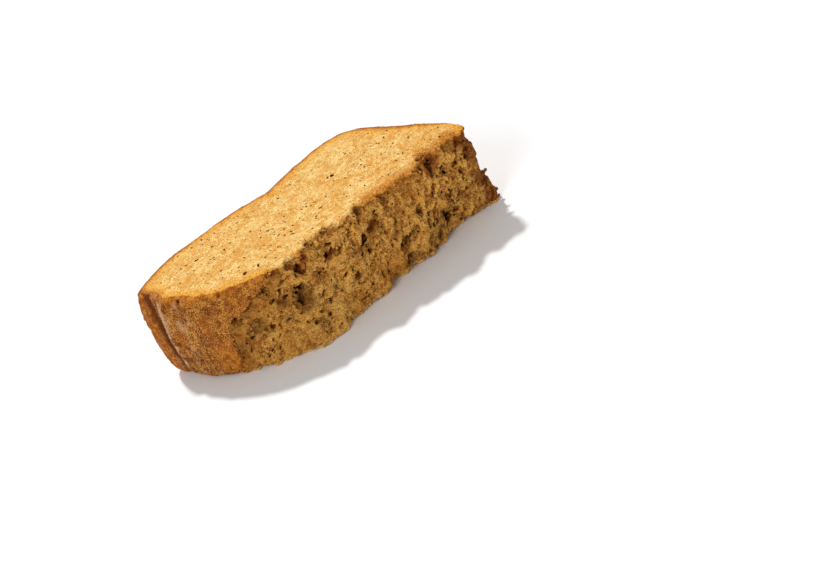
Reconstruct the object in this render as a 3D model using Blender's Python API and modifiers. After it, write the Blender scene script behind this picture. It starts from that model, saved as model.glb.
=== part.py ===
"""Half of a slice of banana bread, torn along its length and lying on its lower cut face.

Metres, +Z up. X runs along the half, from the rounded crust of the loaf's bottom at -X to the
slanted crust of its domed top at +X. The torn side faces -Y and the loaf's side crust faces +Y.
The origin lies under the middle of the piece, on the plane of the lower cut face.
"""
import math
import random

import bmesh
import bpy
from mathutils import Vector, noise

MM = 0.001
OBJECT_NAME = "banana_bread_half"

# Driving sizes of the half slice, in millimetres
THICKNESS = 26.8
LOW_END = -48.2
TIP_X = 47.4
SIDE_Y = 21.7
TEAR_Y = -21.0

# The middle of the finished piece, where the origin goes
MIDDLE_X = -1.85
MIDDLE_Y = -0.51

# The loaf's side: where it rose over the rim of its tin, with a dip, a nick and a bulge beyond
SIDE_POINTS = 12
SIDE_STANDOUT = 0.3
SHOULDER_X = -2.5
SHOULDER_DIP = 2.0
SHOULDER_REACH = 7.0
NICK_X = -1.5
NICK_DEPTH = 0.5
NICK_REACH = 2.0
BULGE_HEIGHT = 1.3
BULGE_START = 6.0
BULGE_END = 8.0

# The crust's outline from the tear round the bottom, the side and the dome to the tip
BOTTOM_CRUST = [
    (-24.0, -18.4),
    (-28.0, -16.0),
    (-33.1, -12.8),
    (-38.6, -6.8),
    (-43.4, 0.8),
    (-46.0, 8.1),
    (LOW_END, 15.4),
    (-45.0, 18.0),
    (-38.2, SIDE_Y - 0.6),
]
FRONT_CRUST_POINTS = 5
DOME_CRUST = [
    (24.5, SIDE_Y + 0.9),
    (28.3, 20.0),
    (31.4, 15.6),
    (37.4, 4.1),
    (43.8, -7.9),
    (TIP_X, -15.9),
]

# How far the upper torn edge stands behind or before the tear's straight line
TORN_EDGE = [
    (TIP_X - 0.6, 2.4),
    (43.6, 0.8),
    (38.3, 0.7),
    (31.2, -0.9),
    (21.0, -0.6),
    (13.3, -0.5),
    (8.0, 1.9),
    (2.4, -1.3),
    (-2.3, 1.3),
    (-7.8, 0.4),
    (-16.4, -1.2),
    (-20.0, 0.1),
]

# How far the lower edge of the tear lies behind the upper one
UNDERCUT = [
    (-30.0, -0.8),
    (-22.0, -0.6),
    (-14.0, -1.6),
    (-6.0, -1.4),
    (2.0, 1.6),
    (12.0, 2.4),
    (22.0, 4.2),
    (31.0, 8.4),
    (39.0, 6.6),
    (TIP_X, 5.0),
]
UNDERCUT_REACH = 24.0
UNDERCUT_POWER = 1.7

# Hollows and flakes of the tear: x, z, half width, half height, depth (a flake stands out)
TEAR_FORMS = [
    (-16.3, 16.3, 2.6, 3.0, 3.0),
    (-17.7, 12.8, 2.4, 2.0, 2.2),
    (-20.4, 16.8, 1.7, 1.5, 1.4),
    (-13.9, 23.0, 1.9, 1.7, 1.8),
    (-24.4, 21.0, 1.6, 1.9, 1.0),
    (-9.5, 16.6, 1.5, 1.8, 1.3),
    (-5.0, 19.4, 1.6, 1.9, 1.9),
    (5.0, 16.2, 2.1, 1.3, 1.3),
    (9.6, 18.2, 1.6, 1.4, 1.3),
    (11.2, 20.0, 1.5, 1.7, 1.7),
    (15.8, 12.0, 1.7, 3.2, 2.9),
    (14.6, 8.0, 1.6, 3.0, 2.3),
    (15.1, 3.4, 2.0, 3.0, 2.6),
    (22.7, 14.4, 1.4, 3.0, 1.6),
    (30.2, 7.2, 1.3, 3.6, 1.7),
    (31.4, 13.8, 1.4, 2.2, 1.5),
    (31.4, 24.8, 1.7, 2.3, 2.2),
    (35.0, 20.2, 1.7, 2.4, 1.6),
    (38.7, 18.4, 1.6, 2.8, 1.7),
    (39.2, 13.2, 1.6, 1.4, 1.0),
    (42.8, 20.0, 1.7, 2.7, 1.6),
    (37.0, 6.0, 2.2, 2.0, 1.1),
    (-10.0, 6.8, 2.4, 2.4, -1.1),
    (-11.0, 2.0, 2.8, 1.8, -1.0),
    (-19.4, 2.4, 2.2, 2.4, -0.6),
    (-9.6, 11.8, 2.4, 2.1, -1.0),
    (-1.0, 15.2, 2.3, 1.8, -1.0),
    (9.2, 9.4, 3.0, 4.8, -1.3),
    (21.0, 8.0, 2.2, 6.0, -1.2),
    (34.8, 13.4, 1.6, 3.0, -0.8),
]

# Relief of the crumb along the tear
TEAR_START_X = -28.0
TEAR_FULL_X = -21.0
TEAR_END_X = TIP_X - 5.0
LUMP_SIZE = 6.5
LUMP_HEIGHT = 1.1
FINE_LUMPS = 2.1
FINE_SHARE = 0.5
STRAND_WIDTH = 2.7
STRAND_LENGTH = 8.0
STRAND_HEIGHT = 1.2
STRAND_LEVEL = 0.35
STRAND_SHARPNESS = 2.0
STRAND_START = -6.0
STRAND_FULL = 18.0
STRAND_LEAST = 0.35
STAMP_REACH = 9.0
RELIEF_REACH = 7.0
SMALL_PITS = 34
PITS_START_X = -23.0
PITS_END_X = TIP_X - 3.0
PITS_MARGIN = 2.0
PIT_RADIUS = (1.0, 1.6)
PIT_DEPTH = (0.6, 1.3)
SEED = 41

# Slices through the noise, so that each relief has a pattern of its own
LUMP_SLICE = 3.7
STRAND_SLICE = 9.1
CUT_SLICE = 5.3
TOOTH_SLICE = (1.3, 7.7)

# The bulging crust at the bottom end, as height and how far it stands out
END_SWELL = [(0.0, 1.4), (5.0, 2.3), (13.0, 2.8), (20.0, 2.0), (THICKNESS, 0.0)]
SWELL_FULL_X = LOW_END + 3.0
SWELL_END_X = -22.0
SWELL_SLANT = 0.62

# The ragged edge between the tear and the dome, as height and how far it is set back
TIP_RECESS = [
    (0.0, 1.2),
    (2.0, 0.4),
    (5.0, 1.7),
    (9.0, 1.6),
    (13.0, 2.8),
    (18.0, 2.4),
    (23.0, 1.4),
    (THICKNESS, 0.0),
]
TIP_REACH = 9.0
TIP_DEPTH = 5.0
TOOTH_SIZE = 2.0
TOOTH_HEIGHT = 0.7

# Small relief of the crust and of the upper cut face
CRUST_RELIEF = 0.28
CRUST_GRAIN = 3.2
CRUST_STRETCH = 0.5
CUT_RELIEF = 0.22
CUT_GRAIN = 11.0
CUT_SINK = 0.5
WALL_SHARE = 0.5
FLAT_BAND = 0.3

# Mesh fineness
WELD_GAP = 0.01
SPAN_STEPS = 6
ROUGH_VOXEL = 1.1
FINE_VOXEL = 0.85
MAX_TRIANGLES = 11400

CRUMB_COLOUR = (0.62, 0.37, 0.12, 1.0)
CRUMB_ROUGHNESS = 0.85


def smoothstep(low, high, value):
    """Rise smoothly from 0 at low to 1 at high."""
    t = min(max((value - low) / (high - low), 0.0), 1.0)
    return t * t * (3.0 - 2.0 * t)


def follow(table, value):
    """Read a table of (place, size) pairs, smoothly between its entries."""
    if value <= table[0][0]:
        return table[0][1]
    for (x0, y0), (x1, y1) in zip(table, table[1:]):
        if value <= x1:
            return y0 + (y1 - y0) * smoothstep(x0, x1, value)
    return table[-1][1]


def side_crust():
    """Points along the loaf's side, which dips at the shoulder and bulges beyond it."""
    first_x = BOTTOM_CRUST[-1][0]
    last_x = DOME_CRUST[0][0]
    points = []
    for i in range(1, SIDE_POINTS):
        x = first_x + (last_x - first_x) * i / SIDE_POINTS
        y = SIDE_Y + SIDE_STANDOUT
        y -= SHOULDER_DIP * math.exp(-((x - SHOULDER_X) / SHOULDER_REACH) ** 2)
        y -= NICK_DEPTH * math.exp(-((x - NICK_X) / NICK_REACH) ** 2)
        y += BULGE_HEIGHT * smoothstep(SHOULDER_X + BULGE_START, last_x - BULGE_END, x)
        points.append((x, y))
    return points


def torn_edge():
    """Points along the upper torn edge, from the tip back to the bottom crust."""
    return [(x, TEAR_Y + offset) for x, offset in TORN_EDGE]


def catmull_rom(points, steps):
    """A smooth closed line through the points."""
    line = []
    count = len(points)
    for i in range(count):
        before, start, end, after = (Vector(points[(i + k) % count]) for k in (-1, 0, 1, 2))
        for s in range(steps):
            t = s / steps
            line.append(0.5 * (
                2.0 * start
                + (end - before) * t
                + (2.0 * before - 5.0 * start + 4.0 * end - after) * t ** 2
                + (3.0 * start - before - 3.0 * end + after) * t ** 3
            ))
    return line


def outline():
    """The closed outline of the upper cut face, anticlockwise from above."""
    corners = BOTTOM_CRUST + side_crust() + DOME_CRUST + torn_edge()
    return catmull_rom(corners, SPAN_STEPS)[::-1]


def tear_line(x):
    """The y of the upper torn edge at x, continued along the bottom crust."""
    edge = [(px, py) for px, py in reversed(BOTTOM_CRUST[:FRONT_CRUST_POINTS])]
    edge += [(px, py) for px, py in reversed(torn_edge())]
    return follow(edge, x)


def undercut(x, z):
    """How far the tear slopes back under the upper edge."""
    down = max(1.0 - z / THICKNESS, 0.0)
    return follow(UNDERCUT, x) * down ** UNDERCUT_POWER


def small_pits():
    """Torn bubbles spread over the tear, as x, z, radius and depth."""
    draw = random.Random(SEED)
    pits = []
    for _ in range(SMALL_PITS):
        x = draw.uniform(PITS_START_X, PITS_END_X)
        z = draw.uniform(PITS_MARGIN, THICKNESS - PITS_MARGIN)
        pits.append((x, z, draw.uniform(*PIT_RADIUS), draw.uniform(*PIT_DEPTH)))
    return pits


def tear_relief(x, z, pits):
    """Depth of the torn crumb behind its mean surface, in millimetres."""
    lump = Vector((x / LUMP_SIZE, z / LUMP_SIZE, LUMP_SLICE))
    depth = LUMP_HEIGHT * (noise.noise(lump) + FINE_SHARE * noise.noise(lump * FINE_LUMPS))
    strand = Vector((x / STRAND_WIDTH, z / STRAND_LENGTH, STRAND_SLICE))
    pull = STRAND_LEAST + (1.0 - STRAND_LEAST) * smoothstep(STRAND_START, STRAND_FULL, x)
    depth += STRAND_HEIGHT * pull * (STRAND_LEVEL - STRAND_SHARPNESS * abs(noise.noise(strand)))
    pressed = [(px, pz, radius, radius, pit_depth) for px, pz, radius, pit_depth in pits]
    for fx, fz, half_width, half_height, form_depth in TEAR_FORMS + pressed:
        reach = ((x - fx) / half_width) ** 2 + ((z - fz) / half_height) ** 2
        if reach < STAMP_REACH:
            depth += form_depth * math.exp(-reach)
    return depth


def prism():
    """The plain half slice: its outline drawn up through the thickness."""
    curve = bpy.data.curves.new("half_outline", "CURVE")
    curve.dimensions = "2D"
    curve.fill_mode = "BOTH"
    curve.extrude = 0.5 * THICKNESS * MM
    points = outline()
    spline = curve.splines.new("POLY")
    spline.points.add(len(points) - 1)
    for point, place in zip(spline.points, points):
        point.co = (place.x * MM, place.y * MM, 0.0, 1.0)
    spline.use_cyclic_u = True
    drawn = bpy.data.objects.new("half_outline", curve)
    bpy.context.scene.collection.objects.link(drawn)
    bpy.context.view_layer.update()
    solid = bpy.data.meshes.new_from_object(drawn.evaluated_get(bpy.context.evaluated_depsgraph_get()))
    bpy.data.objects.remove(drawn)
    welded = bmesh.new()
    welded.from_mesh(solid)
    bmesh.ops.remove_doubles(welded, verts=welded.verts, dist=WELD_GAP * MM)
    bmesh.ops.translate(welded, verts=welded.verts, vec=(0.0, 0.0, 0.5 * THICKNESS * MM))
    bmesh.ops.recalc_face_normals(welded, faces=welded.faces)
    welded.to_mesh(solid)
    welded.free()
    return solid


def add_remesh(piece, voxel):
    """Even out the surface into small faces of one size."""
    remesh = piece.modifiers.new("even_faces", "REMESH")
    remesh.mode = "VOXEL"
    remesh.voxel_size = voxel * MM
    remesh.adaptivity = 0.0


def apply_modifiers(piece):
    """Give the piece the mesh that its modifiers make."""
    bpy.context.view_layer.update()
    graph = bpy.context.evaluated_depsgraph_get()
    shaped = bpy.data.meshes.new_from_object(piece.evaluated_get(graph))
    old = piece.data
    piece.modifiers.clear()
    piece.data = shaped
    bpy.data.meshes.remove(old)


def near_tip(x, y):
    """1 at the tip where the tear meets the dome's crust, fading away from it."""
    return 1.0 - smoothstep(0.0, TIP_REACH, math.hypot(x - TIP_X, y - TEAR_Y - TIP_DEPTH))


def shape_sides(piece):
    """Slope the tear back, bulge the end crust and set back the ragged tip."""
    for vertex in piece.data.vertices:
        x, y, z = vertex.co / MM
        depth = y - tear_line(x)
        y += undercut(x, z) * (1.0 - smoothstep(0.0, UNDERCUT_REACH, depth))
        swell = follow(END_SWELL, z) * (1.0 - smoothstep(SWELL_FULL_X, SWELL_END_X, x))
        x -= swell
        y -= SWELL_SLANT * swell
        x -= follow(TIP_RECESS, z) * near_tip(x, y)
        vertex.co = Vector((x, y, z)) * MM


def roughen(piece):
    """Work the torn crumb, the crust's bumps and the cut face's slight waves into the surface."""
    pits = small_pits()
    normals = [vertex.normal.copy() for vertex in piece.data.vertices]
    for vertex, normal in zip(piece.data.vertices, normals):
        x, y, z = vertex.co / MM
        depth = y - undercut(x, z) - tear_line(x)
        torn = 1.0 - smoothstep(0.0, RELIEF_REACH, depth)
        torn *= smoothstep(TEAR_START_X, TEAR_FULL_X, x)
        torn *= 1.0 - smoothstep(TEAR_END_X, TIP_X, x)
        if torn > 0.0:
            y += tear_relief(x, z, pits) * torn
        x += TOOTH_HEIGHT * noise.noise(Vector((*TOOTH_SLICE, z / TOOTH_SIZE))) * near_tip(x, y)
        wall = 1.0 - abs(normal.z)
        grain = noise.noise(Vector((x, y, z * CRUST_STRETCH)) / CRUST_GRAIN)
        bump = wall * CRUST_RELIEF * grain * (1.0 - torn)
        x += normal.x * bump
        y += normal.y * bump
        if z > 0.5 * THICKNESS and wall < WALL_SHARE:
            z += CUT_RELIEF * (noise.noise(Vector((x, y, CUT_SLICE)) / CUT_GRAIN) - CUT_SINK)
        if z < FLAT_BAND:
            z = 0.0
        vertex.co = Vector((x, y, z)) * MM


def thin_out(piece):
    """Reduce the faces to a light mesh and settle the lower cut face in its plane."""
    bpy.context.view_layer.update()
    piece.data.calc_loop_triangles()
    ratio = MAX_TRIANGLES / len(piece.data.loop_triangles)
    decimate = piece.modifiers.new("fewer_faces", "DECIMATE")
    decimate.ratio = min(ratio, 1.0)
    apply_modifiers(piece)
    middle = Vector((MIDDLE_X, MIDDLE_Y, 0.0)) * MM
    for vertex in piece.data.vertices:
        vertex.co -= middle
        if vertex.co.z < 0.5 * FLAT_BAND * MM:
            vertex.co.z = 0.0


def crumb_material():
    """Golden brown baked crumb."""
    material = bpy.data.materials.new("banana_bread_crumb")
    material.use_nodes = True
    shader = material.node_tree.nodes["Principled BSDF"]
    shader.inputs["Base Color"].default_value = CRUMB_COLOUR
    shader.inputs["Roughness"].default_value = CRUMB_ROUGHNESS
    shader.inputs["Metallic"].default_value = 0.0
    return material


def build():
    """Model the half slice as one solid."""
    for old in list(bpy.data.objects):
        bpy.data.objects.remove(old)
    collection = bpy.data.collections.new("banana_bread")
    bpy.context.scene.collection.children.link(collection)
    half = bpy.data.objects.new(OBJECT_NAME, prism())
    collection.objects.link(half)
    add_remesh(half, ROUGH_VOXEL)
    apply_modifiers(half)
    shape_sides(half)
    add_remesh(half, FINE_VOXEL)
    apply_modifiers(half)
    roughen(half)
    thin_out(half)
    half.data.materials.clear()
    half.data.materials.append(crumb_material())
    half.data.shade_smooth()


build()
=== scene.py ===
"""The torn half slice of banana bread with its open crumb, browned crust and dark fruit specks.

Sizes are in millimetres in the part's own frame. X runs along the half, the torn side faces -Y,
and the cut faces look up and down. The fine surface is worked out as a field of distances on a
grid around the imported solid, turned into a mesh, and scaled to metres.
"""

import math

import bmesh
import bpy
import numpy as np
from mathutils import Matrix, Vector
from mathutils.bvhtree import BVHTree


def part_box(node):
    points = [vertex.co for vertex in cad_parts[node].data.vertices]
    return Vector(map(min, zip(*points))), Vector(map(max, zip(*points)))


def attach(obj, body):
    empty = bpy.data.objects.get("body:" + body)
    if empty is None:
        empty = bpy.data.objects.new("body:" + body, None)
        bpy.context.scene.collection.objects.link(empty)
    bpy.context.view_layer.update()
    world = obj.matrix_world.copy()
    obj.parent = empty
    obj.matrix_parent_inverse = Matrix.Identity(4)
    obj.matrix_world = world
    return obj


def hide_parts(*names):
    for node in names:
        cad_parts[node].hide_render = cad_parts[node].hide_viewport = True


MM = 0.001
NODE = "banana_bread_half"
BODY = "root"

# The grid of the surface field, and the coarser one on which the solid is measured
STEP = 0.3
COARSE = 0.75
MARGIN = 2.4
FAR = 4.0
PAST_HIT = 0.0005
GROWTH = 0.28
BODY_TRIANGLES = 196000

# Where the bottom crust gives way to torn crumb, as height and x
CRUMB_START = [
    (0.0, -37.4), (7.0, -35.9), (15.5, -35.2), (17.0, -32.5), (19.0, -29.2), (21.0, -26.2),
    (22.5, -22.6), (27.0, -20.0),
]
CRUMB_EDGE = 1.6
TORN_DEPTH = 5.0
TORN_FADE = 2.2
TEAR_BACK = 10.0
LIP_HEIGHT = 1.4
LIP_SHARE = 0.7

# How far from the surface each kind of relief is worked out
WAVE_REACH = 3.5
CRUMB_REACH = 2.8
BUBBLE_REACH = 2.4
CRUST_REACH = 1.5

# Layers of noise: cell size, height, seed
CRUMB_EDGE_WOBBLE = (2.6, 1.8, 11)
WARP = (3.0, 0.9, 21)
ROUGHNESS = (0.72, 0.44, 33)
BULGES = (5.2, 1.25, 34)
STRANDS = (2.0, 0.75, 35)
EDGE_WAVES = (3.4, 0.5, 36)
EDGE_NICKS = (1.5, 0.35, 37)
GAP_BREAKS = (3.0, 1.0, 38)
CRUST_BEADS = (0.95, 0.28, 41)
CRUST_LUMPS = (3.6, 0.26, 42)
CUT_WAVES = (5.0, 0.10, 43)
CUT_GRAIN = (0.9, 0.07, 44)
FOLD_WOBBLE = (2.0, 0.8, 45)
CRUST_STREAKS = (1.7, 0.18, 46)
BUBBLE_RAGGED = (1.1, 0.45, 52)
BUBBLE_FRAYED = (0.55, 0.30, 53)
BUBBLE_WARP = (1.9, 0.75, 55)
COLOUR_WOBBLE = (2.2, 1.0, 81)

# Layers of rounded lumps: cell size, height, seed, mean
CLUMPS = (2.5, 1.05, 31, 0.55)
CLUMPS_DRAWN = (2.5, 0.55, 31, 0.55)
GRAINS = (1.15, 0.72, 32, 0.5)

# Scattered things: seed, how many, smallest and largest radius, how strongly small ones prevail
BUBBLES = (51, 560, 0.30, 1.20, 2.6)
EDGE_CHIPS = (54, 75, 0.35, 0.95, 1.6)
FLAKES = (58, 1300, 0.22, 0.62, 2.2)
FRINGE = (59, 110, 0.35, 0.95, 1.4)
CUT_PORES = (61, 1500, 0.28, 0.62, 2.0)

# Their margins on the tear: from its lower edge, its upper edge, the crust and the far end
BUBBLE_MARGINS = (0.4, 0.3, 1.0, 0.8)
FLAKE_MARGINS = (0.6, 0.8, 1.5, 1.2)
TORN_SPECK_MARGINS = (0.8, 0.6, 1.5, 3.0)
FIBRE_MARGINS = (2.0, 2.0, 2.0, 5.0)

# How deep they sit, as shares of their radius or in millimetres, and how uneven their radii are
BUBBLE_SINK = (-0.35, 0.75)
BUBBLE_SPREAD = (0.6, 1.35)
BUBBLE_DEEP = 1.1
BUBBLE_TALL = 1.1
BUBBLE_RIM = 0.35
FLAKE_SINK = (-0.2, 0.5)
FLAKE_SPREAD = (0.6, 1.4)
FLAKE_DEEP = 0.9
FLAKE_TALL = 0.6
CHIP_START = -21.0
CHIP_END = 3.0
CHIP_DROP = (0.2, 1.8)
CHIP_LEVEL = 1.2
CHIP_SINK = (-0.2, 0.7)
CHIP_SPREAD = (0.7, 1.4)
FRINGE_START = 2.0
FRINGE_END = 2.5
FRINGE_HEIGHTS = (0.2, 3.2)
FRINGE_SPREAD = (0.7, 1.3)
PORE_SINK = (0.1, 0.6)
PORE_SPREAD = (0.8, 1.3)

# Strands that the pull has drawn out, from one x to the other, and the bulges under them
STRAND_START = -4.0
STRAND_FULL = 14.0
STRAND_STRETCH = 2.1
STRAND_LEAN = 24.0
STRAND_LENGTH = 3.6
STRAND_RIDGE = 2.2
STRAND_MEAN = 0.7
BULGE_DEPTH = 0.4
EVEN_SHARE = 0.3

# The gap beside the bottom crust: place and width along x, depth, and where noise breaks it up
CRUST_GAP = (1.4, 1.1, 0.9)
GAP_SPAN = (-0.5, 0.4)

# How far relief may stand out, on the tear and at the dome's end, and where that end begins
OUTWARD = 3.0
OUTWARD_AT_END = 0.15
DOME_END = (38.0, 44.0)

# The worn edge round the upper cut face: radius on the crust, on the tear and where it's widest
EDGE_LEVEL = 3.0
EDGE_DROP = 0.1
CRUST_ROUND = 0.4
CRUST_ROUND_WOBBLE = 0.3
TORN_ROUND = 1.1
WIDE_ROUND = 2.2
LEAST_ROUND = 0.2
TORN_EDGE_X = (-23.0, -17.0)
TORN_EDGE_Y = (-8.0, -2.0)
WIDE_BEGINS = (10.0, 15.0)
WIDE_ENDS = (31.0, 36.0)

# How hollows and peaks are pressed in and out, and how bubbles open the hollows further
HOLLOW_REACH = 2.2
HOLLOW_PRESS = 0.65
PEAK_REACH = 2.0
HOLLOW_SINK = 0.15
HOLLOW_MOUTH = 0.75
HOLLOW_BORE = 0.5

# Where the tear is soft and even: x, z, half width, half height, how much relief is lost
EVEN_AREAS = [
    (-21.0, 3.5, 11.0, 4.5, 0.65),
    (9.0, 4.5, 6.0, 5.0, 0.4),
]

# Hollows that stand out in the tear: x, z, half width, half height, depth
HOLLOWS = [
    (-14.4, 16.3, 2.4, 2.6, 3.4), (-15.8, 12.8, 2.2, 1.8, 2.6), (-18.5, 16.7, 1.2, 1.0, 1.5),
    (-12.0, 23.0, 1.5, 1.3, 1.6), (-3.1, 19.5, 1.1, 1.5, 1.8), (-22.5, 21.2, 0.9, 1.3, 1.0),
    (-7.6, 16.5, 0.9, 1.2, 1.3), (12.9, 20.0, 0.9, 1.1, 1.5), (11.2, 18.2, 1.0, 0.8, 1.4),
    (6.8, 16.1, 1.5, 0.6, 1.2), (12.9, 14.6, 0.5, 1.5, 1.2), (17.7, 11.8, 0.8, 2.0, 1.8),
    (16.4, 8.6, 0.9, 1.6, 1.7), (17.0, 4.0, 1.1, 1.7, 1.5), (24.5, 14.2, 0.7, 1.8, 1.5),
    (32.0, 7.0, 0.5, 2.4, 1.4), (33.2, 13.7, 0.8, 1.3, 1.4), (33.8, 24.4, 2.2, 2.4, 2.9),
    (34.2, 26.2, 1.6, 1.1, 1.8), (32.7, 22.4, 1.2, 1.9, 2.2), (36.9, 21.2, 1.1, 1.0, 1.5),
    (36.9, 18.6, 0.8, 0.9, 1.3), (40.4, 16.5, 0.9, 0.8, 1.7), (40.5, 19.4, 1.0, 1.2, 1.4),
    (41.1, 13.3, 1.0, 0.7, 1.0), (44.7, 21.0, 0.9, 1.6, 1.6), (44.4, 18.2, 0.8, 1.0, 1.4),
    (45.6, 9.0, 0.8, 1.6, 1.2), (40.2, 7.4, 0.9, 0.9, 1.1), (37.1, 4.1, 1.1, 0.9, 1.1),
    (26.9, 4.9, 0.8, 1.4, 1.0), (28.7, 22.7, 0.6, 1.1, 1.0), (9.6, 4.2, 0.9, 1.1, 1.0),
    (-0.3, 6.2, 1.0, 1.0, 1.0), (-11.2, 7.3, 0.9, 1.1, 0.9), (-19.2, 9.4, 1.3, 1.1, 1.1),
    (-32.4, 17.0, 0.9, 0.9, 2.2), (-28.4, 12.6, 1.5, 1.2, 1.0), (-35.4, 5.0, 0.8, 0.7, 0.9),
    (-20.7, 16.9, 1.5, 1.3, 1.6), (-15.0, 7.2, 1.5, 1.1, 1.3), (-12.5, 22.6, 1.7, 1.5, 2.0),
    (-9.6, 24.4, 1.0, 1.2, 1.2), (-5.8, 25.9, 0.9, 0.8, 1.2), (0.4, 25.8, 1.1, 0.9, 1.3),
    (3.8, 25.4, 0.9, 1.1, 1.4), (10.0, 25.6, 0.8, 1.2, 1.2), (28.2, 22.8, 0.9, 1.2, 1.2),
    (30.7, 7.8, 0.6, 1.6, 1.2), (43.8, 24.2, 1.2, 0.9, 1.2), (2.9, 16.4, 1.3, 0.8, 1.0),
]

# Flakes that catch the light: x, z, half width, half height, how far they stand out
PEAKS = [
    (-8.2, 6.7, 1.3, 1.2, 1.0), (-9.2, 1.8, 1.5, 0.9, 1.0), (-12.7, 13.6, 1.0, 0.9, 0.9),
    (-8.3, 11.8, 1.1, 1.0, 0.9), (0.9, 15.3, 1.3, 0.9, 0.9), (12.4, 16.0, 0.8, 1.4, 0.8),
    (13.2, 6.8, 1.0, 1.6, 0.9), (0.4, 23.9, 1.0, 0.9, 0.7),
]

# Ragged crust where the dome meets the tear, as thorns: root x, y, z, point x, y, z, thickness
THORNS = [
    (44.8, -13.4, 15.2, 48.4, -14.2, 16.1, 1.0),
    (45.2, -13.0, 8.8, 48.5, -14.2, 9.8, 1.1),
    (45.4, -13.2, 5.8, 47.6, -14.2, 6.1, 1.0),
    (45.8, -13.0, 2.8, 48.7, -14.2, 3.2, 1.5),
    (45.8, -13.4, 1.2, 48.2, -14.4, 1.0, 1.3),
    (45.0, -15.4, 7.6, 46.9, -16.8, 8.0, 1.0),
]
THORN_POINT = 0.4
STAMP_REACH = 2.2

# Folds of the bottom crust: a pale ridge, and the dark groove beside it
RIDGE = [
    (-43.1, 9.3, 26.5), (-44.4, 7.0, 24.2), (-45.5, 5.4, 20.3), (-46.3, 4.9, 13.9),
    (-46.3, 5.0, 10.3), (-46.4, 6.4, 4.0),
]
SECOND_RIDGE = [
    (-42.4, -1.1, 21.7), (-43.0, -1.7, 17.7), (-43.7, -1.7, 12.4),
]
GROOVE = [
    (-44.6, 13.6, 26.6), (-45.9, 9.9, 23.1), (-46.8, 8.7, 18.7), (-47.2, 7.7, 14.2),
    (-46.9, 7.3, 8.0), (-46.7, 8.2, 0.0),
]
RIDGE_WIDTH = 1.15
SECOND_RIDGE_SHARE = 0.45
RIDGE_HEIGHT = 0.5
GROOVE_WIDTH = 1.5
GROOVE_DEPTH = 0.75
FOLDS_END = -30.0

# Orange patches of crust and crumb: x, y, z, radius, strength
WARM_PATCHES = [
    (-38.0, -9.0, 6.5, 4.0, 0.6), (-30.0, -13.5, 24.0, 3.0, 0.5), (11.0, -20.0, 5.0, 5.0, 0.6),
    (-1.5, -20.0, 2.0, 3.5, 0.5), (-3.3, -18.5, 17.0, 2.5, 0.4), (24.0, -20.0, 22.5, 4.0, 0.5),
    (-22.0, -18.0, 5.0, 4.0, 0.35),
]

# Painted shade: dark olive patches over the crumb's deepest hollows: x, y, z, radius, strength
SHADE_PATCHES = [
    (-15.0, -19.2, 13.8, 3.6, 0.85), (-19.0, -18.6, 14.6, 2.6, 0.6), (-33.2, -12.6, 17.1, 2.0, 0.9),
    (-34.6, -11.4, 8.0, 2.4, 0.7), (-28.4, -15.4, 12.6, 2.6, 0.6), (12.4, -18.0, 18.4, 2.4, 0.7),
    (17.4, -17.1, 10.4, 2.0, 0.7), (25.0, -18.4, 14.2, 1.8, 0.6), (31.0, -16.1, 7.4, 2.4, 0.5),
    (16.4, -16.3, 3.6, 2.4, 0.7), (40.4, -15.0, 15.0, 3.0, 0.5), (37.0, -15.0, 19.6, 2.4, 0.6),
    (4.4, -19.5, 16.4, 2.4, 0.5), (-14.2, -22.4, 6.6, 2.4, 0.6),
]

# Painted highlight: pale patches on the crumb's flakes that stand out: x, y, z, radius, strength
HIGHLIGHT_PATCHES = [
    (17.5, -21.5, 24.7, 1.8, 0.5), (14.5, -20.9, 23.3, 1.8, 0.6), (-8.4, -22.5, 8.1, 2.2, 0.7),
    (-9.7, -23.8, 2.6, 2.4, 0.7), (-12.0, -21.6, 11.5, 2.0, 0.6), (-18.4, -19.1, 21.5, 1.8, 0.6),
    (-21.2, -18.7, 10.3, 2.0, 0.5), (-27.1, -16.0, 9.4, 1.6, 0.6), (-4.6, -21.1, 3.0, 2.2, 0.5),
    (-17.0, -21.6, 5.0, 1.8, 0.5), (21.8, -19.6, 13.9, 1.8, 0.6), (22.9, -18.3, 2.1, 2.2, 0.5),
    (28.5, -16.8, 4.4, 2.0, 0.5), (5.9, -20.7, 12.3, 2.0, 0.7), (-5.5, -20.7, 13.2, 2.2, 0.7),
    (-22.7, -18.2, 4.3, 1.8, 0.5), (0.4, -20.5, 23.4, 1.8, 0.6), (38.6, -18.0, 23.4, 2.0, 0.6),
    (12.2, -18.6, 12.0, 1.8, 0.5),
]

# Red-brown chips and hollows, partly baked banana and partly painted shade: x, y, z, radius
RED_HOLLOWS = [
    (10.0, -19.0, 25.6, 1.6), (3.6, -20.5, 25.2, 1.6), (0.3, -19.5, 25.8, 1.5),
    (-6.0, -19.5, 26.0, 1.3), (-9.7, -20.5, 24.4, 1.5), (-12.3, -19.0, 22.7, 2.6),
    (-3.2, -17.5, 19.4, 2.0), (34.2, -18.8, 24.8, 2.8), (32.6, -20.6, 22.8, 2.0),
    (13.0, -18.0, 19.4, 1.6), (43.8, -19.0, 24.4, 2.0), (-18.5, -19.0, 25.5, 1.2),
]

# Small pits of the crust: x, y, z, radius
CRUST_PITS = [
    (-40.7, -0.3, 25.4, 0.6), (-32.7, -11.0, 25.5, 0.6), (-45.8, 2.9, 12.7, 0.9),
    (-44.5, -0.1, 11.6, 1.0), (-26.6, -15.7, 21.9, 0.6), (-31.5, -13.3, 21.2, 0.5),
    (-41.2, -4.2, 2.8, 0.7), (-43.7, -0.4, 3.4, 0.6), (-34.6, -10.9, 21.3, 0.6),
    (-35.4, -11.2, 8.0, 0.7), (-2.6, 21.2, 26.9, 1.0), (47.8, -13.6, 13.2, 0.9),
    (48.4, -14.2, 19.4, 1.5),
]

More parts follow.
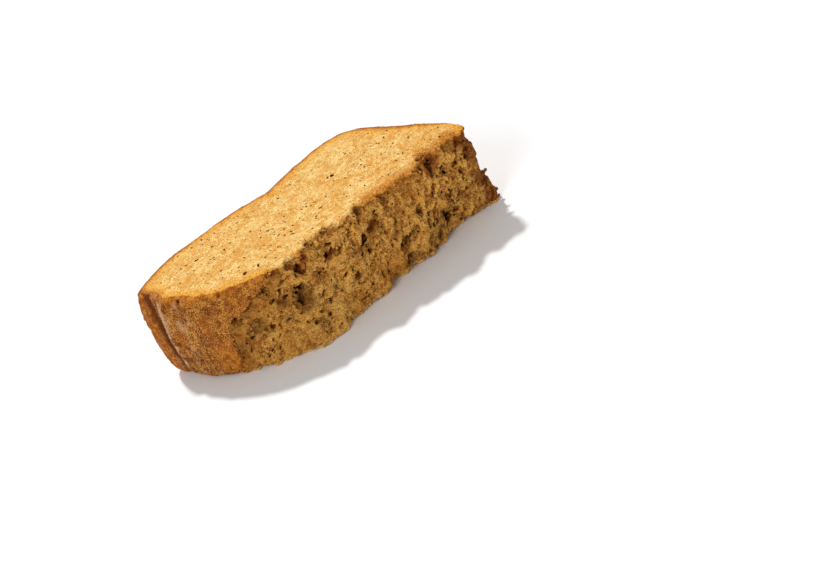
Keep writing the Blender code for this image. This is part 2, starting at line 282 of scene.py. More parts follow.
# Dark bits of banana that stand out on the upper cut face: x, y, and where they differ from
# SPECK_SIZE, half length, half width
SPECKS = [
    (34.8, 6.4), (32.6, 4.2, 0.45, 0.3), (30.2, 2.8), (28.2, 4.2, 0.3, 0.2), (32.5, -1.9, 0.4, 0.2),
    (27.7, -3.3, 0.4, 0.25), (30.4, -8.9, 0.55, 0.3), (31.4, -10.1, 0.5, 0.3),
    (28.4, -11.3, 0.5, 0.2), (31.5, -18.0, 0.7, 0.2), (41.2, -15.1, 0.45, 0.3),
    (22.3, 9.6, 0.4, 0.3), (21.9, -3.1), (16.1, -1.7), (17.7, -8.2), (23.6, -15.0, 0.5, 0.35),
    (11.7, -8.9, 0.3, 0.25), (10.8, -16.8, 0.4, 0.25), (14.5, 4.0, 0.7, 0.5), (5.4, 13.9, 0.3, 0.3),
    (8.4, -3.6), (4.6, -6.9, 0.5, 0.3), (1.1, -1.8, 0.3, 0.2), (1.2, -10.6),
    (-1.8, -14.5, 0.4, 0.25), (-4.3, -6.3, 0.4, 0.25), (-6.5, -5.1, 0.35, 0.3), (-7.9, -8.0),
    (-6.5, -9.9, 0.8, 0.2), (-9.5, -4.3), (-10.8, 2.3, 0.3, 0.25), (-13.9, -5.5, 0.4, 0.3),
    (-12.0, -11.4), (-16.4, -11.8, 0.5, 0.35), (-14.9, -15.5, 0.3, 0.25), (-20.0, -4.9),
    (-22.7, 11.7), (-18.8, 7.2), (-20.4, 1.4, 0.3, 0.2), (-26.0, 6.2), (-27.0, -2.9, 0.4, 0.25),
    (-23.1, -7.3), (-19.5, -13.1, 0.9, 0.25), (-23.6, -12.3, 0.7, 0.5), (-28.2, 10.3, 0.6, 0.4),
    (-28.9, 10.6, 0.45, 0.35), (-31.4, 6.2), (-36.7, 5.3, 0.8, 0.25), (-39.9, 12.1),
]
SPECK_SIZE = (0.35, 0.25)
CUT_SPECKS = (290, 0.10, 0.28, 2.0)
CUT_SPECK_LENGTHS = (1.0, 1.9)
CUT_SPECK_EDGE = 1.0
TORN_SPECKS = (60, 0.12, 0.32, 2.0)
TORN_SPECK_LENGTHS = (1.0, 2.2)

# Dark fibres: two coordinates in the face, length, starting angle and bend in degrees
CUT_FIBRES = [
    (5.0, -2.6, 1.6, 10.0, -100.0), (-5.8, -17.0, 1.8, 60.0, 30.0), (-6.5, -9.9, 1.6, 20.0, 10.0),
]
TORN_FIBRES = [
    (-5.0, 25.4, 2.2, 70.0, 25.0), (-10.0, 22.6, 2.4, 60.0, 30.0), (0.8, 13.0, 2.6, 55.0, 10.0),
    (-27.5, 5.8, 2.6, 20.0, 25.0), (-26.4, 3.2, 1.4, 10.0, 30.0), (27.2, 12.4, 2.4, 120.0, -150.0),
    (32.0, 7.0, 4.2, 85.0, 8.0), (4.5, 24.6, 1.6, 80.0, 10.0),
]
RANDOM_FIBRES = 16
FIBRE_LENGTHS = (0.8, 2.2)
FIBRE_ANGLES = (20.0, 160.0)
FIBRE_BENDS = (-60.0, 60.0)
FIBRE_SPREAD = (0.7, 1.1)
FIBRE_RADIUS = 0.13

STREAK_LENGTH = 4.5
WALL_BEGINS = (0.2, 1.4)
FACE_UNEVEN = 0.8
SPECK_MARGIN = 1.6
SHAPE_SEED = 71
SPECK_SEED = 72

LATTICE = 64
HOLLOW_LIMIT = 1.2
HOLLOW_PASSES = 4
WIDE_STRIDE = 3
WIDE_PASSES = 4

# Soft changes of colour, as start and end in millimetres, and how far each one reaches
SIDE_BEGINS = (0.6, 1.2)
FACE_ENDS = (0.8, 1.8)
RIM_BEGINS = (1.6, 2.6)
RIM_REACH = 8.0
STEEP = 0.6
DOME_CRUST = 46.5
BACK_BEGINS = (1.0, 9.0)
BACK_LEAN = 0.05
BACK_SHIFT = 12.0
DOME_BEGINS = (30.0, 46.0)
BROWN_REACH = 6.5
BROWN_ENDS = (-18.0, -6.0)
END_SHIFT = 6.0
END_BEGINS = (34.0, 43.0)
LIP_LEVEL = 1.5
LIP_BEGINS = (-24.0, -20.0)
LIP_TIP = (47.0, -17.4, 26.6)
LIP_TIP_RADIUS = 3.2
DUSKY_BEGINS = (8.0, 11.0)
DUSKY_ENDS = (-40.0, -30.0)
WARM_ENDS = (0.3, 3.2)
STREAKS_END = (-43.5, -38.5)
PATCH_WOBBLE = 0.4
RED_WOBBLE = 0.25
RED_SHARE = 0.9

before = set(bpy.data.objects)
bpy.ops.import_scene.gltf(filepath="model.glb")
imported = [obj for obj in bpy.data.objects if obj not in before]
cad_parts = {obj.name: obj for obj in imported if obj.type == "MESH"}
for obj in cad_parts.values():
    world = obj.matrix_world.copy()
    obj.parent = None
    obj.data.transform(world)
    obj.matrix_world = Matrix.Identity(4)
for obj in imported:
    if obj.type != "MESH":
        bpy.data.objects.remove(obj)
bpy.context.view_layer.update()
cad_low, cad_high = (np.array(corner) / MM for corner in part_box(NODE))

ORIGIN = cad_low - MARGIN
SHAPE = tuple(np.ceil((cad_high - cad_low + 2.0 * MARGIN) / STEP).astype(int) + 1)
AXES = [ORIGIN[k] + STEP * np.arange(SHAPE[k]) for k in range(3)]


def smooth(low, high, value):
    """Rise smoothly from 0 at low to 1 at high."""
    t = np.clip((value - low) / (high - low), 0.0, 1.0)
    return t * t * (3.0 - 2.0 * t)


def lattice_index(cells):
    """Where each whole-number place is found in a table that repeats every LATTICE cells."""
    wrapped = cells & (LATTICE - 1)
    return (wrapped[:, 0] * LATTICE + wrapped[:, 1]) * LATTICE + wrapped[:, 2]


def soft_noise(points, cell, seed):
    """Smooth noise, about -1 to 1, with one bump to a cell."""
    draw = np.random.default_rng(seed)
    slopes = draw.normal(size=(LATTICE ** 3, 3)).astype(np.float32)
    slopes /= np.linalg.norm(slopes, axis=1, keepdims=True)
    place = (points / cell).astype(np.float32)
    base = np.floor(place).astype(np.int32)
    part = place - base
    ease = part ** 3 * (part * (part * 6.0 - 15.0) + 10.0)
    total = np.zeros(len(points), np.float32)
    for corner in np.ndindex(2, 2, 2):
        step = np.array(corner, np.int32)
        slope = slopes[lattice_index(base + step)]
        share = np.prod(np.where(step, ease, 1.0 - ease), axis=1)
        total += share * np.einsum("ij,ij->i", slope, part - step)
    return 1.7 * total


def crumb_cells(points, cell, seed):
    """Distance to the nearest of scattered centres, about 0 to 1, in cells."""
    draw = np.random.default_rng(seed)
    centres = draw.random((LATTICE ** 3, 3)).astype(np.float32)
    place = (points / cell).astype(np.float32)
    base = np.floor(place).astype(np.int32)
    part = place - base
    nearest = np.full(len(points), 9.0, np.float32)
    for offset in np.ndindex(3, 3, 3):
        step = np.array(offset, np.int32) - 1
        gap = centres[lattice_index(base + step)] + step - part
        nearest = np.minimum(nearest, np.einsum("ij,ij->i", gap, gap))
    return np.sqrt(nearest)


def solid_faces():
    """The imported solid's corners in millimetres and its triangles."""
    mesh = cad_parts[NODE].data
    mesh.calc_loop_triangles()
    corners = [Vector(vertex.co) / MM for vertex in mesh.vertices]
    return corners, [tuple(triangle.vertices) for triangle in mesh.loop_triangles]


def heights_crossed(tree, start):
    """The heights at which a line straight up from a place crosses the solid's surface."""
    up = Vector((0.0, 0.0, 1.0))
    crossings = []
    hit = tree.ray_cast(start, up)[0]
    while hit is not None:
        crossings.append(hit.z)
        hit = tree.ray_cast(hit + up * PAST_HIT, up)[0]
    return crossings


def solid_distance():
    """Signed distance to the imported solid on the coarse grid, negative inside."""
    tree = BVHTree.FromPolygons(*solid_faces(), all_triangles=True)
    counts = np.ceil((np.array(SHAPE) - 1) * STEP / COARSE).astype(int) + 2
    axes = [ORIGIN[k] + COARSE * np.arange(counts[k]) for k in range(3)]
    distance = np.full(counts, FAR, np.float32)
    for i, x in enumerate(axes[0]):
        for j, y in enumerate(axes[1]):
            crossings = heights_crossed(tree, Vector((x, y, axes[2][0])))
            inside = np.searchsorted(crossings, axes[2]) % 2 == 1
            for k, z in enumerate(axes[2]):
                found = tree.find_nearest(Vector((x, y, z)), FAR)
                gap = FAR if found[0] is None else found[3]
                distance[i, j, k] = -gap if inside[k] else gap
    return distance


def even_out(field):
    """Soften a field by one grid step each way."""
    for axis in range(3):
        padded = np.pad(field, [(1, 1) if k == axis else (0, 0) for k in range(3)], mode="edge")
        before = np.take(padded, range(0, field.shape[axis]), axis)
        after = np.take(padded, range(2, field.shape[axis] + 2), axis)
        field = 0.5 * field + 0.25 * (before + after)
    return field


def along_axis(values, axis):
    """The values laid along one axis of the grid."""
    return values.reshape([-1 if k == axis else 1 for k in range(3)])


def refine(coarse):
    """Read the coarse field at every point of the fine grid."""
    field = coarse
    for axis in range(3):
        place = (AXES[axis] - ORIGIN[axis]) / COARSE
        low = np.minimum(place.astype(int), coarse.shape[axis] - 2)
        part = along_axis((place - low).astype(np.float32), axis)
        field = np.take(field, low, axis) * (1.0 - part) + np.take(field, low + 1, axis) * part
    return field


def grid_points(mask):
    """The places of the grid points in a mask."""
    index = np.nonzero(mask)
    return np.stack([AXES[k][index[k]] for k in range(3)], axis=1)


def sample(field, points, step_size=STEP):
    """The field's value at any places, read between grid points."""
    place = (points - ORIGIN) / step_size
    base = np.clip(np.floor(place).astype(int), 0, np.array(field.shape) - 2)
    part = place - base
    total = np.zeros(len(points))
    for corner in np.ndindex(2, 2, 2):
        step = np.array(corner)
        share = np.prod(np.where(step, part, 1.0 - part), axis=1)
        total += share * field[tuple((base + step).T)]
    return total


def first_surface(field, axis, upwards=True):
    """How far along an axis the solid begins, or where it ends, for each line of the grid."""
    if not upwards:
        field = np.flip(field, axis)
    inside = field < 0.0
    first = np.maximum(np.argmax(inside, axis=axis), 1)
    after = np.take_along_axis(field, np.expand_dims(first, axis), axis).squeeze(axis)
    before = np.take_along_axis(field, np.expand_dims(first - 1, axis), axis).squeeze(axis)
    part = first - after / np.minimum(after - before, -1e-6)
    place = AXES[axis][0] + STEP * part if upwards else AXES[axis][-1] - STEP * part
    place[~inside.any(axis=axis)] = np.nan
    return place


def front_face(field):
    """The y of the half's front surface for each x and z of the grid."""
    y = first_surface(field, 1)
    return np.where(np.isnan(y), AXES[1][-1], y)


def ripple(points, layer, share=1.0, shift=0):
    """Smooth noise by a layer's cell size, height and seed."""
    cell, height, seed = layer
    return share * height * soft_noise(points, cell, seed + shift)


def cell_relief(points, layer):
    """Rounded lumps by a layer's cell size, height, seed and mean."""
    cell, height, seed, mean = layer
    return height * (crumb_cells(points, cell, seed) - mean)


def crumb_start_at(z):
    """The x where torn crumb begins at a height."""
    heights, starts = zip(*CRUMB_START)
    return np.interp(z, heights, starts)


def past_crust(points):
    """How far each place lies beyond the ragged edge of the bottom crust, along x."""
    return points[:, 0] - crumb_start_at(points[:, 2]) - ripple(points, CRUMB_EDGE_WOBBLE)


def grid_index(values, axis):
    """The grid plane nearest to each coordinate."""
    return np.clip(np.rint((values - ORIGIN[axis]) / STEP).astype(int), 0, SHAPE[axis] - 1)


def front_at(front, x, z):
    """The y of the front surface at one place or many."""
    return front[grid_index(x, 0), grid_index(z, 2)]


def cut_depth(z):
    """How far each height is from the nearer cut face."""
    return np.minimum(cad_high[2] - z, z - cad_low[2])


def torn_share(points, front):
    """1 on the torn crumb, 0 on crust and cut faces, for any places near the surface."""
    depth = points[:, 1] - front_at(front, points[:, 0], points[:, 2])
    share = smooth(-0.5 * CRUMB_EDGE, 0.5 * CRUMB_EDGE, past_crust(points))
    return share * (1.0 - smooth(TORN_DEPTH - TORN_FADE, TORN_DEPTH, depth))


def lip_share(points):
    """Less relief close to the cut faces, so that their edges stay crisp."""
    return LIP_SHARE + (1.0 - LIP_SHARE) * smooth(0.0, LIP_HEIGHT, cut_depth(points[:, 2]))


def taking_part(mask, share_of):
    """The grid points in a mask that take a share of some relief, their shares and their indices."""
    points = grid_points(mask)
    share = share_of(points)
    near = share > 0.0
    index = tuple(part[near] for part in np.nonzero(mask))
    return points[near], share[near], index


def near_tear(field, reach):
    """Where the grid lies near the surface and not at the back."""
    mask = np.abs(field) < reach
    mask[:, AXES[1] > TEAR_BACK, :] = False
    return mask


def tear_points(field, front, reach):
    """The grid points near the tear, how much of the relief each takes, and their indices."""
    mask = near_tear(field, reach)
    points, share, index = taking_part(mask, lambda places: torn_share(places, front))
    return points, share * lip_share(points), index


def roughness(points):
    """1 where the tear is rough, less where it is soft and even."""
    rough = np.ones(len(points))
    for x, z, half_width, half_height, loss in EVEN_AREAS:
        reach = ((points[:, 0] - x) / half_width) ** 2 + ((points[:, 2] - z) / half_height) ** 2
        rough -= loss * np.exp(-reach)
    return rough


def turned(points):
    """The places turned in the plane of the tear, so that z runs along its strands."""
    lean = math.radians(STRAND_LEAN)
    x = points[:, 0] * math.cos(lean) - points[:, 2] * math.sin(lean)
    z = points[:, 0] * math.sin(lean) + points[:, 2] * math.cos(lean)
    return np.stack([x, points[:, 1], z], axis=1)


def pull_at(x):
    """How strongly the pull has drawn out the crumb at each x."""
    return smooth(STRAND_START, STRAND_FULL, x)


def tear_waves(field, front):
    """Bulges under the crumb, and the strands that the pull has drawn out."""
    points, share, index = tear_points(field, front, WAVE_REACH)
    drawn = turned(points)
    drawn[:, 1] *= BULGE_DEPTH
    relief = ripple(drawn, BULGES)
    drawn[:, 2] /= STRAND_LENGTH
    cell, height, seed = STRANDS
    ridges = STRAND_RIDGE * np.abs(soft_noise(drawn, cell, seed)) - STRAND_MEAN
    relief += pull_at(points[:, 0]) * height * ridges
    place, width, depth = CRUST_GAP
    gap = np.exp(-((past_crust(points) - place) / width) ** 2)
    relief += depth * gap * smooth(*GAP_SPAN, ripple(points, GAP_BREAKS))
    field[index] += held_back(relief, points) * share


def held_back(relief, points):
    """The relief without what would stand out past the dome's end."""
    return np.maximum(relief, -OUTWARD_AT_END - OUTWARD * (1.0 - smooth(*DOME_END, points[:, 0])))


def crumb_relief(points, stretch, clumps):
    """How far torn crumb lies behind its mean surface, drawn out by a factor along the strands."""
    drawn = turned(points)
    drawn[:, 2] /= stretch
    for axis in range(3):
        drawn[:, axis] += ripple(points, WARP, shift=axis)
    return cell_relief(drawn, clumps) + cell_relief(drawn, GRAINS)


def tear_crumb(field, front):
    """Work the open crumb into the torn side."""
    points, share, index = tear_points(field, front, CRUMB_REACH)
    pull = pull_at(points[:, 0])
    relief = ripple(points, ROUGHNESS)
    loose, drawn = pull < 1.0, pull > 0.0
    relief[loose] += (1.0 - pull[loose]) * crumb_relief(points[loose], 1.0, CLUMPS)
    relief[drawn] += pull[drawn] * crumb_relief(points[drawn], STRAND_STRETCH, CLUMPS_DRAWN)
    rough = EVEN_SHARE + (1.0 - EVEN_SHARE) * roughness(points)
    field[index] += held_back(relief, points) * share * rough


def worn_edge(field, base):
    """Round the edge of the upper cut face, most where the tear has left it broad."""
    level = cad_high[2] - EDGE_LEVEL
    wall = -base[:, :, grid_index(level, 2)]
    k = np.nonzero(AXES[2] > level)[0]
    x, y = np.meshgrid(AXES[0], AXES[1], indexing="ij")
    flat = np.stack([x.ravel(), y.ravel(), np.zeros(x.size)], axis=1)
    uneven = (ripple(flat, EDGE_WAVES) + ripple(flat, EDGE_NICKS)).reshape(x.shape)
    torn = smooth(*TORN_EDGE_X, x) * (1.0 - smooth(*TORN_EDGE_Y, y))
    wide = smooth(*WIDE_BEGINS, x) * (1.0 - smooth(*WIDE_ENDS, x))
    radius = CRUST_ROUND * (1.0 + CRUST_ROUND_WOBBLE * uneven)
    radius = radius + torn * (TORN_ROUND - CRUST_ROUND + (WIDE_ROUND - TORN_ROUND) * wide)
    radius = np.maximum(radius * (1.0 + torn * uneven), LEAST_ROUND)
    down = cad_high[2] - EDGE_DROP - AXES[2][k]
    off_side = np.maximum(radius - wall, 0.0)[:, :, None]
    off_top = np.maximum(radius[:, :, None] - down, 0.0)
    rounded = np.hypot(off_side, off_top) - radius[:, :, None]
    rounded[(off_side * off_top) == 0.0] = -FAR
    field[:, :, k] = np.maximum(field[:, :, k], rounded)


def scatter(table):
    """The random source of a table of scattered things, how many there are, and their sizes."""
    seed, count, *sizes = table
    return np.random.default_rng(seed), range(count), sizes


def draw_radius(draw, sizes):
    """A random radius, more often a small one."""
    small, large, power = sizes
    return small + (large - small) * draw.random() ** power


def tear_place(draw, margins):
    """A random x and z on the tear."""
    lower, upper, crust, end = margins
    z = draw.uniform(lower, cad_high[2] - upper)
    x = draw.uniform(crumb_start_at(z) + crust, cad_high[0] - end)
    return x, z


def edge_chips(field, front):
    """Small chips broken out of the upper edge of the tear."""
    draw, numbers, sizes = scatter(EDGE_CHIPS)
    for _ in numbers:
        x = draw.uniform(CHIP_START, cad_high[0] - CHIP_END)
        z = cad_high[2] - draw.uniform(*CHIP_DROP)
        radius = draw_radius(draw, sizes)
        level = min(z, cad_high[2] - CHIP_LEVEL)
        y = front_at(front, x, level) + radius * draw.uniform(*CHIP_SINK)
        carve(field, (x, y, z), radius * draw.uniform(*CHIP_SPREAD, 3))


def lower_fringe(field, front):
    """Crumbs that stand out along the lower edge of the tear, and gaps between them."""
    draw, numbers, sizes = scatter(FRINGE)
    for number in numbers:
        x = draw.uniform(CRUMB_START[0][1] + FRINGE_START, cad_high[0] - FRINGE_END)
        z = draw.uniform(*FRINGE_HEIGHTS)
        radius = draw_radius(draw, sizes)
        y = front_at(front, x, z)
        radii = radius * draw.uniform(*FRINGE_SPREAD, 3)
        if number % 2:
            carve(field, (x, y + 0.2 * radius, z), radii)
        else:
            add_lump(field, (x, y - 0.1 * radius, z), radii)


def window(centre, reach):
    """The slices of the grid that hold everything within reach of a centre."""
    low = np.floor((np.array(centre) - reach - ORIGIN) / STEP).astype(int)
    high = np.ceil((np.array(centre) + reach - ORIGIN) / STEP).astype(int) + 1
    return tuple(slice(max(a, 0), min(b, n)) for a, b, n in zip(low, high, SHAPE))


def blob_distance(centre, radii, around):
    """Rough distance to a stretched ball, on a piece of the grid."""
    total = 0.0
    for axis in range(3):
        gap = (AXES[axis][around[axis]] - centre[axis]) / radii[axis]
        total = total + along_axis(gap, axis) ** 2
    return (np.sqrt(total) - 1.0) * min(radii)


def carve(field, centre, radii):
    """Take a stretched ball out of the field's solid."""
    around = window(centre, max(radii) + STEP)
    field[around] = np.maximum(field[around], -blob_distance(centre, radii, around))


def join_on(field, around, shape, blend):
    """Join a shape to the field's solid, with a soft seam."""
    mix = np.clip(0.5 + 0.5 * (field[around] - shape) / blend, 0.0, 1.0)
    field[around] = field[around] * (1.0 - mix) + shape * mix - blend * mix * (1.0 - mix)


def add_lump(field, centre, radii, blend=0.3):
    """Grow a stretched ball onto the field's solid."""
    around = window(centre, max(radii) + 2.0 * blend + STEP)
    join_on(field, around, blob_distance(centre, radii, around), blend)


def add_thorn(field, root, point, thickness, blend=0.5):
    """Grow a thorn onto the field's solid, from a thick root to a thin point."""
    root, run = np.array(root), np.array(point) - np.array(root)
    around = window(root + 0.5 * run, 0.5 * np.linalg.norm(run) + thickness + 2.0 * blend)
    axes = [AXES[axis][around[axis]] for axis in range(3)]
    places = np.stack(np.meshgrid(*axes, indexing="ij"), axis=-1)
    along = np.clip((places - root) @ run / (run @ run), 0.0, 1.0)
    width = thickness + (THORN_POINT - thickness) * along
    gap = np.linalg.norm(places - root - along[..., None] * run, axis=-1)
    join_on(field, around, gap - width, blend)


def press(field, centre, radii, depth):
    """Push the surface in, or out where depth is negative, under a soft round stamp."""
    around = window(centre, STAMP_REACH * max(radii))
    total = (blob_distance(centre, radii, around) / min(radii) + 1.0) ** 2
    field[around] += depth * np.exp(-total)


def named_hollows(field, front):
    """Press in the hollows that show most in the tear, and press out its broad flakes."""
    for x, z, half_width, half_height, depth in HOLLOWS:
        place = (x, front_at(front, x, z), z)
        press(field, place, (half_width, HOLLOW_REACH, half_height), HOLLOW_PRESS * depth)
    for x, z, half_width, half_height, height in PEAKS:
        place = (x, front_at(front, x, z), z)
        press(field, place, (half_width, PEAK_REACH, half_height), -height)


def slanted(x, z):
    """The x of a place once the strands' lean is taken out."""
    return x - math.tan(math.radians(STRAND_LEAN)) * (z - 0.5 * cad_high[2])


def bubble_field(front):
    """Distance to the nearest opened bubble, negative inside it, with the lean taken out."""
    holes = np.full(SHAPE, FAR, np.float32)
    balls = []
    for x, z, half_width, half_height, depth in HOLLOWS:
        y = front_at(front, x, z) + HOLLOW_SINK * depth
        radii = (HOLLOW_MOUTH * half_width, HOLLOW_BORE * depth, HOLLOW_MOUTH * half_height)
        balls.append(((slanted(x, z), y, z), radii))
    draw, numbers, sizes = scatter(BUBBLES)
    for _ in numbers:
        x, z = tear_place(draw, BUBBLE_MARGINS)
        radius = draw_radius(draw, sizes)
        radius *= roughness(np.array([(x, 0.0, z)]))[0]
        y = front_at(front, x, z) + radius * draw.uniform(*BUBBLE_SINK)
        stretch = np.array((1.0, BUBBLE_DEEP, 1.0 + BUBBLE_TALL * pull_at(x)))
        balls.append(((slanted(x, z), y, z), radius * draw.uniform(*BUBBLE_SPREAD, 3) * stretch))
    for centre, radii in balls:
        around = window(centre, max(radii) + BUBBLE_REACH)
        holes[around] = np.minimum(holes[around], blob_distance(centre, radii, around))
    return holes


def open_bubbles(field, front):
    """Bubbles that the tear has opened."""
    holes = bubble_field(front)
    mask = near_tear(field, BUBBLE_REACH)
    points = grid_points(mask)
    warped = np.stack([slanted(points[:, 0], points[:, 2]), points[:, 1], points[:, 2]], axis=1)
    for axis in range(3):
        warped[:, axis] += ripple(points, BUBBLE_WARP, shift=axis)
    ragged = ripple(points, BUBBLE_RAGGED)
    ragged += ripple(points, BUBBLE_FRAYED)
    empty = -(sample(holes, warped) + ragged)
    mix = np.clip(0.5 + 0.5 * (field[mask] - empty) / BUBBLE_RIM, 0.0, 1.0)
    field[mask] = empty + (field[mask] - empty) * mix + BUBBLE_RIM * mix * (1.0 - mix)


def loose_flakes(field, front):
    """Flakes left standing between the bubbles."""
    draw, numbers, sizes = scatter(FLAKES)
    for _ in numbers:
        x, z = tear_place(draw, FLAKE_MARGINS)
        radius = draw_radius(draw, sizes)
        y = front_at(front, x, z) + draw.uniform(*FLAKE_SINK)
        stretch = np.array((1.0, FLAKE_DEEP, 1.0 + FLAKE_TALL * pull_at(x)))
        add_lump(field, (x, y, z), radius * draw.uniform(*FLAKE_SPREAD, 3) * stretch)


def line_distance(points, line):
    """Distance from each place to the nearest point of a bent line."""
    nearest = np.full(len(points), np.inf)
    for start, end in zip(line, line[1:]):
        start, run = np.array(start), np.array(end) - np.array(start)
        along = np.clip((points - start) @ run / (run @ run), 0.0, 1.0)
        nearest = np.minimum(nearest, np.linalg.norm(points - start - along[:, None] * run, axis=1))
    return nearest


def crust_and_cut(field, front):
    """The crust's beads, folds and pocks, and the cut faces' faint waves."""
    mask = np.abs(field) < CRUST_REACH
    points, calm, index = taking_part(mask, lambda places: 1.0 - torn_share(places, front))
    wall = smooth(*WALL_BEGINS, cut_depth(points[:, 2]))
    relief = ripple(points, CRUST_BEADS, wall)
    relief += ripple(points, CRUST_LUMPS, wall)
    relief += ripple(points / (1.0, 1.0, STREAK_LENGTH), CRUST_STREAKS, wall)
    for layer in (CUT_WAVES, CUT_GRAIN):
        cell, height, seed = layer
        relief += (1.0 - wall) * height * (1.0 + soft_noise(points, cell, seed))
    end = points[:, 0] < FOLDS_END
    at_end = points[end]
    folds = np.zeros(len(at_end))
    wobble = ripple(at_end, FOLD_WOBBLE)
    for line in (RIDGE, SECOND_RIDGE):
        folds -= RIDGE_HEIGHT * np.exp(-((line_distance(at_end, line) + wobble) / RIDGE_WIDTH) ** 2)
    folds += GROOVE_DEPTH * np.exp(-((line_distance(at_end, GROOVE) + wobble) / GROOVE_WIDTH) ** 2)
    relief[end] += folds
    field[index] += relief * calm
    for *centre, radius in CRUST_PITS:
        carve(field, centre, (radius, radius, radius))


def small_pores(field):
    """Pores of the upper and lower cut face."""
    draw, numbers, sizes = scatter(CUT_PORES)
    for level, outward in ((cad_high[2], 1.0), (cad_low[2], -1.0)):
        for _ in numbers:
            x = draw.uniform(cad_low[0], cad_high[0])
            y = draw.uniform(cad_low[1], cad_high[1])
            radius = draw_radius(draw, sizes)
            z = level + outward * radius * draw.uniform(*PORE_SINK)
            carve(field, (x, y, z), radius * draw.uniform(*PORE_SPREAD, 3))


def keep_in_box(field):
    """Cut the field off at the solid's own box."""
    for axis in range(3):
        place = along_axis(AXES[axis], axis)
        field = np.maximum(field, place - cad_high[axis])
        field = np.maximum(field, cad_low[axis] - place)
    return field


def surface_net(field):
    """The zero surface of the field as corners and four-sided faces."""
    inside = field < 0.0
    cells = np.zeros(np.array(SHAPE) - 1, np.int8)
    for corner in np.ndindex(2, 2, 2):
        part = tuple(slice(c, n - 1 + c) for c, n in zip(corner, SHAPE))
        cells += inside[part]
    active = (cells > 0) & (cells < 8)
    number = np.full(active.shape, -1, np.int64)
    number[active] = np.arange(active.sum())
    base = np.argwhere(active)
    total = np.zeros((len(base), 3))
    count = np.zeros(len(base))
    for axis in range(3):
        for a, b in np.ndindex(2, 2):
            start = base.copy()
            start[:, (axis + 1) % 3] += a
            start[:, (axis + 2) % 3] += b
            end = start.copy()
            end[:, axis] += 1
            f0 = field[tuple(start.T)]
            f1 = field[tuple(end.T)]
            crossed = (f0 < 0.0) != (f1 < 0.0)
            place = start.astype(float)
            place[:, axis] += np.where(crossed, f0 / np.where(crossed, f0 - f1, 1.0), 0.0)
            total[crossed] += place[crossed]
            count += crossed
    corners = ORIGIN + STEP * total / count[:, None]
    faces = []
    for axis in range(3):
        b, c = (axis + 1) % 3, (axis + 2) % 3
        low = [slice(1, -1)] * 3
        low[axis] = slice(0, -1)
        high = list(low)
        high[axis] = slice(1, None)
        first, second = inside[tuple(low)], inside[tuple(high)]
        place = np.argwhere(first != second)
        outward = first[tuple(place.T)]
        place[:, b] += 1
        place[:, c] += 1
        ring = []
        for db, dc in ((-1, -1), (0, -1), (0, 0), (-1, 0)):
            cell = place.copy()
            cell[:, b] += db
            cell[:, c] += dc
            ring.append(number[tuple(cell.T)])
        ring = np.stack(ring, axis=1)
        ring[~outward] = ring[~outward][:, ::-1]
        faces.append(ring)
    return corners, np.concatenate(faces)


def largest_shell(corners, faces):
    """Leave out sealed bubbles and loose crumbs, and keep the one outer surface."""
    label = np.arange(len(corners))
    while True:
        lowest = label[faces].min(axis=1)
        update = label.copy()
        for k in range(4):
            np.minimum.at(update, faces[:, k], lowest)
        update = update[update]
        if (update == label).all():
            break
        label = update
    names, counts = np.unique(label, return_counts=True)
    kept = label == names[np.argmax(counts)]
    number = np.cumsum(kept) - 1
    return corners[kept], number[faces[kept[faces[:, 0]]]]


def mesh_object(name, corners, faces):
    """A new object from corners in millimetres and faces of one size."""
    mesh = bpy.data.meshes.new(name)
    sides = faces.shape[1]
    mesh.vertices.add(len(corners))
    mesh.vertices.foreach_set("co", (corners * MM).astype(np.float32).ravel())
    mesh.loops.add(faces.size)
    mesh.loops.foreach_set("vertex_index", faces.astype(np.int32).ravel())
    mesh.polygons.add(len(faces))
    mesh.polygons.foreach_set("loop_start", np.arange(0, faces.size, sides, dtype=np.int32))
    mesh.update(calc_edges=True)
    mesh.validate()
    piece = bpy.data.objects.new(name, mesh)
    bpy.context.scene.collection.objects.link(piece)
    return piece


def apply_modifiers(piece):
    """Give the piece the mesh that its modifiers make."""
    graph = bpy.context.evaluated_depsgraph_get()
    shaped = bpy.data.meshes.new_from_object(piece.evaluated_get(graph))
    old = piece.data
    piece.modifiers.clear()
    piece.data = shaped
    bpy.data.meshes.remove(old)


def thin_out(piece, most):
    """Collapse the flattest edges until the piece is light enough."""
    piece.data.calc_loop_triangles()
    decimate = piece.modifiers.new("fewer_faces", "DECIMATE")
    decimate.ratio = min(most / len(piece.data.loop_triangles), 1.0)
    bpy.context.view_layer.update()
    apply_modifiers(piece)


def corner_places(mesh):
    """The mesh's corners in millimetres."""
    flat = np.empty(len(mesh.vertices) * 3, np.float32)
    mesh.vertices.foreach_get("co", flat)
    return flat.reshape(-1, 3) / MM


def stay_in_box(mesh):
    """Move corners that lie a hair outside the solid's own box back onto it."""
    places = corner_places(mesh).clip(cad_low, cad_high)
    mesh.vertices.foreach_set("co", (places * MM).astype(np.float32).ravel())
    mesh.update()


